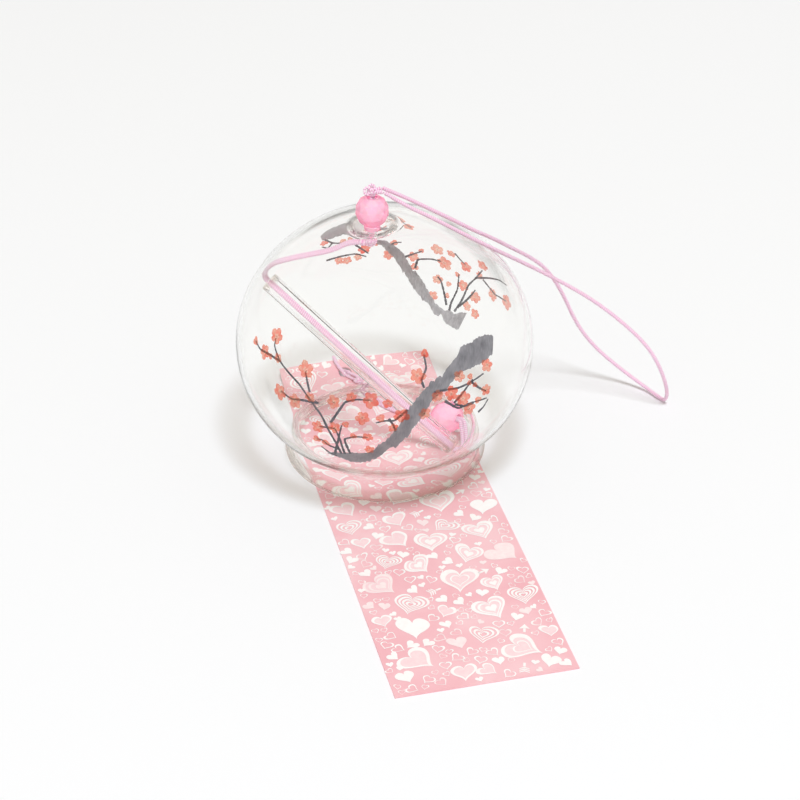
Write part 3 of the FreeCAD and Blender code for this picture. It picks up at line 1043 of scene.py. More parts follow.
@dataclass
class Brush:
    """Collects painted shapes on the globe and makes one piece of them."""

    bell: Bell
    rng: np.random.Generator
    places: list[Grid] = field(default_factory=list)
    faces: Faces = field(default_factory=list)
    tones: list[Grid] = field(default_factory=list)
    count: int = 0
    limb_steps: int = 220
    limb_across: int = 9
    limb_tone: float = 0.34
    edge_tone: float = 0.2
    dark_line: float = 0.45
    start_tone: float = 0.12
    limb_grain: float = 0.04
    faded_grain: float = 0.25
    smoothing: int = 17
    slow_steps: int = 13
    slow_share: float = 2.2
    knobs: int = 9
    knob_margin: int = 6
    knob_reach: tuple[float, float] = (1.2, 3.5)
    knob_height: float = 1.6
    degree: float = 0.6
    twig_steps: int = 10
    twig_passes: int = 6
    twig_uneven: float = 0.12
    twig_tone: float = 0.05
    rim_steps: int = 60
    bud_size: float = 1.15
    petal_reach: float = 1.1
    petal_waist: float = 0.6
    petal_round: float = 0.6
    petal_lean: tuple[float, float] = (0.12, 0.07)
    petal_ragged: float = 0.03
    petal_rings: tuple[float, ...] = (0.16, 0.45, 0.75, 1.0)
    petal_tones: tuple[float, ...] = (0.85, 0.3, 0.4, 0.3)
    petal_spread: float = 0.1
    petal_grain: float = 0.06

    def add(self, azimuth: Grid, down: Grid, faces: Faces, tone: Grid, lift: float) -> None:
        """Add a shape given by its places on the globe.

        Args:
            azimuth: degrees round the globe's axis, one for each vertex.
            down: millimetres down the section, one for each vertex.
            faces: the shape's own faces.
            tone: how pale each vertex is.
            lift: how far above the glass the paint is.
        """
        rows = self.bell.on_glass(azimuth, down, lift)
        self.faces += [tuple(number + self.count for number in face) for face in faces]
        self.places.append(rows)
        self.tones.append(tone)
        self.count += len(rows)

    def limb(self, upper: Sequence[Place], lower: Sequence[Place], ragged: float, lift: float,
             faded: float = 0.0) -> None:
        """Paint the limb between its two edges.

        Each edge is smoothed, then made ragged by fine noise, by slow noise and by knobs. Rows of places run
        straight across from one edge to the other.

        Args:
            upper: azimuth and length down for places along the upper edge.
            lower: the same for the lower edge.
            ragged: how far the edges stray, in millimetres.
            lift: how far above the glass the paint is.
            faded: how much paler the paint is made, with more grain; on the back limb the paleness is painted
                light, for paint seen from inside the globe.
        """
        count, across = self.limb_steps, self.limb_across
        kernel = np.hanning(self.smoothing) / np.hanning(self.smoothing).sum()
        slow = np.ones(self.slow_steps) / self.slow_steps
        reach = self.smoothing // 2
        edges = []
        for edge in (upper, lower):
            rows = np.asarray(edge, float)
            runs = np.hypot(np.diff(rows[:, 0]) * self.degree, np.diff(rows[:, 1]))
            along = np.concatenate([[0], np.cumsum(runs)])
            stops = np.linspace(0, along[-1], count)
            curve = np.stack([np.interp(stops, along, rows[:, axis]) for axis in (0, 1)], 1)
            padded = np.concatenate([np.repeat(curve[:1], reach, 0), curve, np.repeat(curve[-1:], reach, 0)])
            curve = np.stack([np.convolve(padded[:, axis], kernel, "valid") for axis in (0, 1)], 1)
            rough = np.convolve(self.rng.normal(0, 1, count + 2), (0.3, 0.4, 0.3), "valid") * ragged
            waves = np.convolve(self.rng.normal(0, 1, count + self.slow_steps - 1), slow, "valid")
            rough += waves * ragged * self.slow_share
            for spot in self.rng.integers(self.knob_margin, count - self.knob_margin, self.knobs):
                knob = np.exp(-((np.arange(count) - spot) / self.rng.uniform(*self.knob_reach)) ** 2)
                rough += knob * self.rng.normal(0, self.knob_height) * ragged
            curve[:, 1] += rough
            edges.append(curve)
        shares = np.linspace(0, 1, across)
        grid = (edges[0][:, None, :] * (1 - shares)[None, :, None]
                + edges[1][:, None, :] * shares[None, :, None])
        # A faded limb is made paler; on the back limb this is painted light for paint seen from inside the
        # globe
        tone = self.limb_tone + self.edge_tone * np.abs(shares - self.dark_line)[None, :] + faded
        tone = tone - self.start_tone * np.linspace(1, 0, count)[:, None]
        tone = tone + self.rng.normal(0, self.limb_grain + self.faded_grain * faded, (count, across))
        flat = grid.reshape(-1, 2)
        faces = sheet_faces(count, across)
        self.add(flat[:, 0], flat[:, 1], faces, np.clip(tone, 0, 1).reshape(-1), lift)

    def twig(self, route: Sequence[Place], width: float, end_width: float, lift: float) -> None:
        """Paint a thin twig: a band of uneven width along a smoothed route.

        Args:
            route: azimuth and length down for places along the twig.
            width: its width at the start, in millimetres.
            end_width: its width at the end.
            lift: how far above the glass the paint is.
        """
        rows = np.asarray(route, float)
        stops = np.linspace(0, len(rows) - 1, self.twig_steps * len(rows))
        curve = np.stack([np.interp(stops, np.arange(len(rows)), rows[:, axis]) for axis in (0, 1)], 1)
        kernel = np.array((0.25, 0.5, 0.25))
        for _ in range(self.twig_passes):
            curve[1:-1] = np.stack([np.convolve(curve[:, axis], kernel, "valid") for axis in (0, 1)], 1)
        girth = np.radians(1) * np.array([self.bell.girth(row[1]) for row in curve])
        ahead = np.gradient(curve, axis=0) * np.stack([girth, np.ones_like(girth)], 1)
        ahead /= np.linalg.norm(ahead, axis=1, keepdims=True) + 1e-9
        uneven = 1 + self.rng.normal(0, self.twig_uneven, len(curve))
        half = np.linspace(width, end_width, len(curve)) / 2 * uneven
        aside = np.stack([-ahead[:, 1] / girth, ahead[:, 0]], 1) * half[:, None]
        flat = np.concatenate([curve + aside, curve - aside])
        faces = sheet_faces(2, len(curve))
        self.add(flat[:, 0], flat[:, 1], faces, np.full(len(flat), self.twig_tone), lift)

    def flower(self, azimuth: float, down: float, radius: float, lift: float) -> None:
        """Paint a blossom of five round petals, or a bud of three if it is small.

        The rim's radius rises and falls with the cosine of the petals' turn. Rings inside it carry the tones:
        a pale heart, then red.

        Args:
            azimuth: where its middle is, in degrees round the axis.
            down: where its middle is, in millimetres down the section.
            radius: its radius.
            lift: how far above the glass the paint is.
        """
        petals = 5 if radius > self.bud_size else 3
        steps = self.rim_steps
        turn = self.rng.uniform(0, 2 * math.pi)
        angles = np.linspace(0, 2 * math.pi, steps, endpoint=False)
        lobe = np.abs(np.cos(petals / 2 * (angles - turn)))
        once, twice = self.petal_lean
        uneven = 1 + once * np.cos(angles - self.rng.uniform(0, 6)) + twice * np.cos(2 * angles - turn)
        petal = self.petal_waist + (1 - self.petal_waist) * lobe ** self.petal_round
        ragged = 1 + self.rng.normal(0, self.petal_ragged, steps)
        rim = self.petal_reach * radius * petal * uneven * ragged
        shares = np.array(self.petal_rings)
        x = (shares[:, None] * rim * np.cos(angles)).reshape(-1)
        y = (shares[:, None] * rim * np.sin(angles)).reshape(-1)
        girth = np.radians(1) * self.bell.girth(down)
        count = len(shares)
        tone = np.repeat(self.petal_tones, steps) + self.rng.normal(0.0, self.petal_spread)
        tone = tone * (0.5 + 0.5 * np.tile(lobe, count)) + self.rng.normal(0, self.petal_grain, count * steps)
        faces = ring_faces(count, steps, False) + [tuple(range(steps))]
        self.add(azimuth + x / girth, down + y, faces, np.clip(tone, 0, 1), lift)

    def finish(self, name: str, material: bpy.types.Material) -> bpy.types.Object:
        """Make the piece of all the shapes added so far."""
        return make_piece(name, np.concatenate(self.places), self.faces, material, Body.BELL,
                          tones={"tone": np.concatenate(self.tones)})


@dataclass
class Painting:
    """Plum branches in blossom, one on the front of the globe and one on its back.

    Each place is an azimuth round the globe and the millimetres down its section from the top.
    """

    bell: Bell
    ragged: float = 0.3
    twig_width: float = 0.72
    twig_end: float = 0.42
    layer: float = 0.012
    # Painted light: the back limb is made this much paler, for paint seen from inside the globe
    back_painted_light: float = 0.33
    seed: int = 11

    FRONT_UPPER = [(-38.5, 44.0), (-39.1, 43.3), (-45.2, 41.8), (-54.5, 41.9), (-59.5, 44.2), (-65.8, 47.4),
                   (-72.2, 49.2), (-75.1, 51.0), (-79.9, 54.3), (-83.5, 59.0), (-87.0, 63.0), (-91.8, 66.8),
                   (-95.0, 69.6), (-101.3, 70.9), (-107.5, 71.3), (-113.3, 72.9)]
    FRONT_LOWER = [(-42.0, 47.6), (-43.3, 48.2), (-50.5, 48.2), (-59.2, 48.9), (-66.5, 52.1), (-71.1, 54.2),
                   (-75.1, 57.8), (-78.8, 61.3), (-81.9, 64.3), (-86.9, 67.5), (-91.9, 71.4), (-97.4, 74.9),
                   (-101.9, 75.0), (-106.2, 73.9), (-111.0, 73.9), (-113.6, 73.3)]
    BACK_UPPER = [(121.9, 43.4), (118.2, 40.4), (111.5, 38.6), (105.4, 41.0), (98.5, 45.9), (92.2, 49.2),
                  (87.1, 51.8), (83.5, 54.5), (79.1, 59.7), (74.3, 63.9), (70.3, 68.0), (65.0, 71.2),
                  (59.0, 72.0), (52.1, 70.2)]
    BACK_LOWER = [(119.8, 46.4), (115.3, 46.6), (109.0, 45.4), (104.2, 46.8), (98.2, 50.2), (93.5, 51.6),
                  (90.0, 53.8), (85.9, 57.4), (81.8, 62.4), (77.4, 67.0), (71.9, 70.6), (66.8, 74.0),
                  (60.5, 75.2), (54.3, 76.0)]
    FRONT_TWIGS = [
        [(-106.8, 71.9), (-108.3, 67.6), (-113.3, 59.3), (-117.9, 55.9), (-123.2, 52.4), (-134.4, 48.8),
         (-139.4, 46.0), (-140.1, 44.0)],
        [(-134.4, 48.8), (-140.4, 48.7), (-147.0, 49.3), (-151.5, 48.3)],
        [(-118.6, 53.6), (-120.5, 50.3), (-121.6, 48.5)],
        [(-114.7, 55.9), (-121.7, 56.5), (-126.7, 57.4), (-131.6, 56.5)],
        [(-109.9, 61.0), (-106.4, 56.6), (-104.4, 54.1), (-99.9, 53.0), (-95.4, 53.0)],
        [(-105.4, 71.7), (-106.6, 65.7), (-108.2, 62.5), (-114.4, 63.0)],
        [(-103.1, 71.3), (-105.0, 65.6), (-100.8, 64.3), (-96.2, 64.2)],
        [(-109.7, 72.5), (-107.2, 66.2), (-105.6, 61.1)],
        [(-107.4, 70.1), (-111.7, 69.2), (-114.1, 67.6), (-116.5, 67.9)],
        [(-109.0, 73.4), (-112.4, 72.2), (-115.0, 70.5)],
        [(-81.2, 55.8), (-83.7, 57.3), (-86.1, 58.8), (-89.3, 58.7), (-92.9, 59.4)],
        [(-88.1, 58.1), (-86.5, 60.1), (-85.7, 62.2)],
        [(-74.6, 50.4), (-75.5, 48.3), (-72.9, 45.4), (-73.2, 41.9)],
        [(-70.9, 52.0), (-65.6, 52.1), (-61.0, 52.5), (-56.1, 52.2), (-48.9, 51.3)],
        [(-63.3, 56.3), (-59.9, 54.5), (-57.2, 53.0), (-54.3, 51.5)],
        [(-67.0, 55.0), (-61.6, 58.3), (-56.8, 57.8), (-48.5, 58.5)],
        [(-55.0, 52.2), (-51.9, 54.6), (-48.8, 56.4)],
        [(-52.6, 61.7), (-50.1, 60.7), (-47.9, 59.0)],
        [(-62.9, 56.7), (-58.8, 58.3), (-54.8, 58.3)],
    ]
    BACK_TWIGS = [
        [(61.3, 72.0), (61.0, 69.0), (58.7, 64.5), (58.4, 59.5)],
        [(58.8, 71.2), (56.1, 67.3), (53.7, 62.0), (49.4, 58.3), (44.7, 53.9)],
        [(49.4, 58.3), (40.6, 55.4), (33.0, 53.2), (27.1, 52.9)],
        [(45.2, 57.5), (41.6, 58.9), (37.6, 60.1), (29.3, 59.3)],
        [(57.6, 69.7), (54.0, 66.9), (51.2, 64.1), (49.7, 62.4)],
        [(62.9, 70.0), (64.4, 66.9), (66.3, 63.1), (67.9, 62.0)],
        [(82.3, 56.9), (78.1, 55.4), (74.3, 54.0)],
        [(77.3, 60.3), (76.3, 57.2), (70.7, 56.5), (66.4, 56.6)],
        [(59.4, 51.9), (57.1, 53.8), (54.6, 55.2)],
        [(89.0, 53.1), (86.2, 51.3), (83.0, 51.0)],
        [(120.0, 44.6), (113.6, 48.9), (107.6, 50.3), (103.9, 48.7)],
        [(115.3, 55.9), (109.1, 55.4), (102.6, 55.1), (98.0, 56.5)],
        [(113.6, 49.0), (115.3, 50.9), (118.6, 49.3)],
        [(87.0, 36.4), (82.5, 39.8), (77.9, 43.2)],
        [(87.3, 43.1), (84.0, 44.3), (81.7, 42.0)],
        [(102.8, 51.6), (99.9, 53.6), (97.1, 55.4)],
    ]
    # Each blossom's last number is its radius
    FRONT_FLOWERS = [
        (-140.0, 43.5, 2.0), (-151.5, 48.3, 1.1), (-144.0, 48.9, 1.8), (-135.6, 48.4, 1.2),
        (-139.9, 48.9, 0.8), (-121.7, 48.2, 2.1), (-132.0, 56.7, 2.0), (-124.8, 57.4, 1.9),
        (-118.5, 55.1, 1.3), (-108.6, 54.8, 1.7),
        (-102.0, 52.5, 1.3), (-95.0, 52.9, 2.0), (-88.3, 53.8, 1.2), (-97.7, 58.0, 1.8), (-91.3, 58.0, 1.1),
        (-83.8, 57.4, 1.9), (-114.9, 63.3, 1.7), (-108.2, 62.3, 1.6), (-104.1, 60.6, 0.9),
        (-116.5, 67.9, 1.1),
        (-112.6, 68.3, 1.1), (-101.2, 64.2, 0.9), (-96.0, 64.2, 1.3), (-95.6, 68.8, 1.3), (-86.7, 60.8, 1.2),
        (-76.9, 47.0, 1.9), (-72.9, 41.6, 1.0), (-75.1, 57.5, 1.5), (-46.3, 49.6, 1.7), (-59.9, 49.7, 1.5),
        (-55.4, 50.5, 0.8), (-56.1, 52.2, 0.7), (-53.7, 53.2, 0.7), (-64.1, 53.6, 1.8), (-69.7, 53.0, 1.5),
        (-59.6, 55.9, 2.0), (-48.5, 56.0, 1.5), (-57.1, 59.4, 1.7), (-52.7, 57.9, 1.0),
    ]
    BACK_FLOWERS = [
        (67.7, 52.5, 1.9), (61.1, 52.5, 1.3), (65.2, 57.0, 2.1), (54.1, 55.6, 1.8), (43.6, 51.9, 1.9),
        (68.0, 62.9, 1.4), (62.9, 63.6, 0.8), (56.0, 62.5, 1.7), (59.0, 59.6, 0.8), (69.4, 68.1, 1.5),
        (63.2, 67.1, 0.8), (49.4, 64.5, 1.8), (53.0, 68.5, 1.3), (48.0, 69.5, 1.4), (38.9, 60.5, 1.9),
        (29.3, 59.3, 2.3), (46.9, 56.5, 1.3), (78.1, 56.2, 1.6), (74.6, 53.8, 0.8), (77.5, 59.7, 1.1),
        (88.6, 56.2, 1.6), (86.2, 51.2, 1.1), (118.0, 47.7, 1.3), (108.9, 48.8, 0.9), (105.4, 48.4, 0.9),
        (111.4, 50.8, 0.8), (109.5, 56.8, 1.3), (106.2, 57.3, 1.3), (101.6, 56.2, 1.2), (98.8, 53.8, 1.7),
        (93.5, 51.2, 1.2), (82.9, 38.9, 1.7), (79.3, 42.8, 1.6),
    ]

    def paint(self) -> None:
        """Paint both branches."""
        rng = np.random.default_rng(self.seed)
        lift = self.bell.paint_lift
        wood = Brush(self.bell, rng)
        wood.limb(self.FRONT_UPPER, self.FRONT_LOWER, self.ragged, lift)
        wood.limb(self.BACK_UPPER, self.BACK_LOWER, self.ragged, lift, self.back_painted_light)
        for route in self.FRONT_TWIGS + self.BACK_TWIGS:
            wood.twig(route, self.twig_width, self.twig_end, lift + self.layer)
        wood.finish("painted_branches", self.bell.trunk_paint)
        petals = Brush(self.bell, rng)
        for azimuth, down, radius in self.FRONT_FLOWERS + self.BACK_FLOWERS:
            petals.flower(azimuth, down, radius, lift + 2 * self.layer)
        petals.finish("painted_blossoms", self.bell.petal_paint)


# The cords, knots and clapper


@dataclass
class Rigging:
    """The cords and knots that join the pieces, and the clapper tube.

    The places are those of the part, in millimetres.
    """

    bell: Bell
    cord: CordMaker
    tube_glass: bpy.types.Material
    tube_radius: float = 2.6
    bore_radius: float = 1.7
    tube_length: float = 69.5
    tube_foot: tuple[float, float, float] = (19.0, -4.8, 2.423)
    tube_heading: float = 166.7
    tube_rise: float = 42.3
    side: float = 76.7
    gap: float = 0.1
    stop_knot_radius: float = 1.8
    top_knot_radius: float = 1.4
    strip_knot_radius: float = 1.5
    clapper_bead: tuple[float, float, float] = (17.5, 6.0, 5.55)
    bead_heading: float = -40.3
    bead_rise: float = 15.7
    bead_exit: float = 5.3
    strip_knot: tuple[float, float, float] = (-8.0, 30.5, 1.599)
    top_knot: tuple[float, float, float] = (-3.1, -1.822, 80.939)
    top_strand: float = 0.48
    stop_strand: float = 0.6
    stop_offset: float = -0.5
    lobe_offset: tuple[float, float, float] = (-2.0, 0.0, -0.5)
    lobe_radius: float = 1.25
    lobe_strand: float = 0.55
    strip_strand: float = 0.5
    strip_knot_flat: float = 0.66
    ear_facing: tuple[float, float, float] = (0.15, -0.8, 0.55)
    ear_radius: float = 0.72
    ear_strand: float = 0.36
    ear_steps: int = 49
    straight_steps: int = 40
    tube_lead: float = 1.6
    foot_lead: float = 2.0
    tube_around: int = 72
    tube_rounding: float = 0.3
    tube_steps: int = 40
    tube_end_soft: float = 0.7

    UPPER_ROUTE = [(-8.6, 0.0, 65.2), (-13.5, 1.0, 62.0), (-19.7, 3.0, 59.6), (-25.8, 4.0, 57.6),
                   (-29.6, 5.2, 55.6), (-31.8, 6.3, 52.9)]
    FOOT_ROUTE = [(21.45, -5.0, 1.1, 98.0), (22.4, -3.5, 2.3, 140.0), (22.3, -0.9, 4.7, 180.0),
                  (22.0, 1.2, 6.6, 205.0)]
    STRIP_ROUTE = [(11.0, 11.6, 2.6, 232.0), (6.0, 15.0, 1.15, 235.0), (1.0, 18.5, 1.02, 230.0),
                   (-4.3, 23.6, 1.02, 218.0), (-6.5, 27.7, 1.04, 208.0)]
    LOOP_ROUTE = [
        (-0.5, -1.2, 81.75), (5.2, -0.2, 78.6), (11.4, 0.8, 74.8), (17.7, 2.4, 70.6), (23.4, 4.5, 66.3),
        (29.0, 9.6, 61.0), (34.5, 16.4, 54.3), (40.5, 24.0, 47.0), (45.4, 28.0, 40.9), (50.2, 31.0, 31.5),
        (54.4, 33.0, 20.7), (60.3, 33.8, 12.0), (68.4, 32.6, 5.1), (75.0, 29.5, 1.3), (78.3, 25.0, 0.9),
        (80.2, 23.0, 0.62), (80.4, 20.3, 5.4), (78.0, 18.5, 13.6), (73.6, 18.8, 21.7), (65.4, 20.0, 29.5),
        (56.8, 20.6, 36.2), (48.2, 19.6, 42.1), (39.6, 14.0, 50.0), (31.5, 4.6, 59.2), (24.5, -1.1, 66.0),
        (17.7, -2.0, 70.4), (11.4, -2.4, 74.2), (5.2, -2.8, 77.6), (0.0, -3.0, 81.35),
    ]
    LOOP_PLACES = [
        (-1.75, 3.7, 1.5), (-2.6, 5.6, 1.5), (-4.6, 9.0, 2.2), (-5.6, 13.0, 3.4), (-5.8, 15.8, 3.7),
        (-5.2, 16.4, 2.0), (-4.9, 14.2, 0.95), (-4.3, 12.3, 0.75), (-3.6, 11.0, 0.85), (-3.2, 9.8, 1.35),
        (-2.7, 8.2, 2.3), (-1.4, 6.2, 2.3), (-0.6, 4.8, 1.9), (-0.35, 4.0, 1.6),
    ]
    # The direction that each turn of a knot goes round
    TOP_KNOT_AXES = [(0.2, 0.3, 1.0), (1.0, 0.2, 0.5), (-0.3, 1.0, 0.4), (0.7, -0.8, 0.3)]
    STOP_KNOT_AXES = [(0.1, 0.2, 1.0), (1.0, 0.1, 0.2), (0.2, 1.0, -0.3), (0.7, 0.7, 0.4), (-0.7, 0.6, 0.4)]
    LOBE_AXES = [(0.2, 1.0, 0.2), (0.1, 0.3, 1.0)]
    STRIP_KNOT_AXES = [(0.9, 0.3, 0.2), (-0.3, 1.0, 0.2), (0.2, 0.1, 1.0)]
    # Each ear's place on the top knot and how tall it is
    EARS = [((-1.25, -0.75, 0.5), 1.25), ((0.0, -0.6, 1.5), 0.95)]

    def __post_init__(self) -> None:
        """Work out the places that follow from the bell and the tube."""
        rise = math.radians(self.tube_rise)
        self.tube_axis = polar(math.cos(rise), self.tube_heading, math.sin(rise))
        self.foot = np.array(self.tube_foot)
        self.head = self.foot + self.tube_axis * self.tube_length
        rise = math.radians(self.bead_rise)
        self.hole_axis = polar(math.cos(rise), self.bead_heading, math.sin(rise))
        self.bead_side = self.bead_heading - 90 + 360
        self.stop_height = self.bell.seat_floor - self.bell.wall - self.gap - self.stop_knot_radius
        self.knot = np.array(self.top_knot)

    def hang_loop(self) -> None:
        """Make the long loop that the bell hangs by."""
        line = read_route(self.LOOP_ROUTE)
        piece = self.cord.join("long_loop", [self.cord.strand(line, swollen=True)], Body.LOOP, "hanging_loop")

    def tie_top_knot(self) -> None:
        """Make the knot on the top bead, its two ears and the stubs of the long loop."""
        strands = self.cord.wraps(self.knot, self.top_knot_radius, self.top_strand, self.TOP_KNOT_AXES)
        for end in (self.LOOP_ROUTE[0], self.LOOP_ROUTE[-1]):
            run = np.asarray(end) - self.knot
            length = float(np.linalg.norm(run))
            reach = self.knot + run * (length - self.gap) / length
            strands.append(self.cord.strand(np.linspace(self.knot, reach, self.straight_steps)))
        facing = unit(self.ear_facing)
        across = unit(np.cross(facing, (0.1, 0.2, 1.0)))
        up = np.cross(across, facing)
        turns = np.linspace(0, 2 * math.pi, self.ear_steps)
        for offset, tall in self.EARS:
            ring = self.knot + np.asarray(offset) + self.ear_radius * (
                np.cos(turns)[:, None] * across + tall * np.sin(turns)[:, None] * up)
            strands.append(self.cord.strand(ring, self.ear_strand, closed=True))
        self.cord.join("top_knot_turns", strands, Body.LOOP_KNOT, "top_knot")

    def thread_bell(self) -> None:
        """Make the strands in the top bead, the stop knot and the cord to the tube's head."""
        low = self.bell.lean((self.bell.seat_x, 0, self.stop_height))[0]
        high = self.knot - unit(self.knot - low) * (self.top_knot_radius + self.gap)
        offsets = [polar(hand * self.cord.spacing, self.side) for hand in (-0.5, 0.5)]
        strands = [self.cord.strand(np.linspace(low + offset, high + offset, self.straight_steps))
                   for offset in offsets]
        self.cord.join("bead_strands", strands, Body.BELL, "bead_cord")
        knot = np.array((self.bell.seat_x + self.stop_offset, 0, self.stop_height))
        lobe = knot + np.array(self.lobe_offset)
        turns = self.cord.wraps(self.bell.lean(knot)[0], self.stop_knot_radius, self.stop_strand,
                                self.STOP_KNOT_AXES)
        turns += self.cord.wraps(self.bell.lean(lobe)[0], self.lobe_radius, self.lobe_strand, self.LOBE_AXES)
        self.cord.join("stop_knot_turns", turns, Body.BELL, "stop_knot")
        start = self.bell.lean(lobe)[0]
        ends = [self.head + self.tube_axis * self.tube_lead, self.head + self.tube_axis * self.gap]
        route = [start] + [np.array(row) for row in self.UPPER_ROUTE] + ends
        piece = self.cord.join("upper_strands", self.cord.doubled([(place, self.side) for place in route]),
                               None, "upper_cord")
        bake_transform(piece)

    def tube_section(self) -> list[tuple[float, float]]:
        """Work out the tube wall's section: four quarter rounds with straights between.

        Returns:
            Radius and height pairs, up the outer face and down the bore.
        """
        edge, length = self.tube_rounding, self.tube_length
        outer, bore = self.tube_radius - edge, self.bore_radius + edge
        straight = np.linspace(edge, length - edge, self.tube_steps)[1:-1]
        corners = ((outer, edge, straight), (outer, length - edge, ()),
                   (bore, length - edge, straight[::-1]), (bore, edge, ()))
        section = []
        for number, (reach, height, run) in enumerate(corners):
            turns = np.linspace(0, math.pi / 2, 5) + (number - 1) * math.pi / 2
            section += [(reach + edge * math.cos(turn), height + edge * math.sin(turn)) for turn in turns]
            section += [(section[-1][0], level) for level in run]
        return section

    def thread_tube(self) -> None:
        """Make the strands inside the tube and the glass tube itself."""
        self.cord.join("tube_strands", self.cord.doubled([(self.foot, self.side), (self.head, self.side)]),
                       Body.LINE, "tube_cord")
        section = self.tube_section()
        side = unit(np.cross(self.tube_axis, (0, 0, 1)))
        up = np.cross(side, self.tube_axis)
        turns = np.linspace(0, 2 * math.pi, self.tube_around, endpoint=False)
        rings = [self.foot + self.tube_axis * height
                 + reach * (np.cos(turns)[:, None] * side + np.sin(turns)[:, None] * up)
                 for reach, height in section]
        places = np.concatenate(rings)
        heights = np.repeat([height for _, height in section], self.tube_around)
        from_end = np.minimum(heights, self.tube_length - heights)
        soft = self.tube_end_soft * (from_end < self.tube_rounding * 1.01)
        faces = outward(places, ring_faces(len(rings), self.tube_around, True))
        piece = make_piece("clapper_tube_glass", places, faces,
                           self.tube_glass, Body.TUBE, tones={"soft": soft})
        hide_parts("glass_tube")

    def thread_foot(self) -> None:
        """Make the strands from the tube's foot through the clapper bead and on to the card."""
        bead = np.array(self.clapper_bead)
        entry = bead + self.hole_axis * self.bead_exit
        leave = bead - self.hole_axis * self.bead_exit
        start = self.foot - self.tube_axis * (self.cord.radius + self.gap)
        rows = [(start, self.side), (self.foot - self.tube_axis * self.foot_lead, self.side)]
        rows += [(np.array(row[:3]), row[3]) for row in self.FOOT_ROUTE]
        rows += [(entry, self.bead_side), (leave, self.bead_side)]
        self.cord.join("foot_strands", self.cord.doubled(rows), Body.BELL, "foot_cord")
        knot = np.array(self.strip_knot)
        rows = [(leave - self.hole_axis * self.gap, self.bead_side)]
        rows += [(np.array(row[:3]), row[3]) for row in self.STRIP_ROUTE]
        heading = self.STRIP_ROUTE[-1][3]
        last = rows[-1][0]
        rows.append((knot + unit(last - knot) * (self.strip_knot_radius + self.gap), heading))
        self.cord.join("strip_strands", self.cord.doubled(rows), Body.BELL, "strip_cord")

    def tie_strip(self, strip: "Strip") -> None:
        """Make the strip's knot and the loop through its hole.

        Args:
            strip: the card, whose frame the loop's places are given in.
        """
        turns = self.cord.wraps(self.strip_knot, self.strip_knot_radius, self.strip_strand,
                                self.STRIP_KNOT_AXES, self.strip_knot_flat)
        self.cord.join("strip_knot_turns", turns, Body.STRIP, "strip_knot")
        line = read_route([strip.place(*row) for row in self.LOOP_PLACES])
        self.cord.join("strip_eye", [self.cord.strand(line)], Body.STRIP, "strip_loop")


# The card


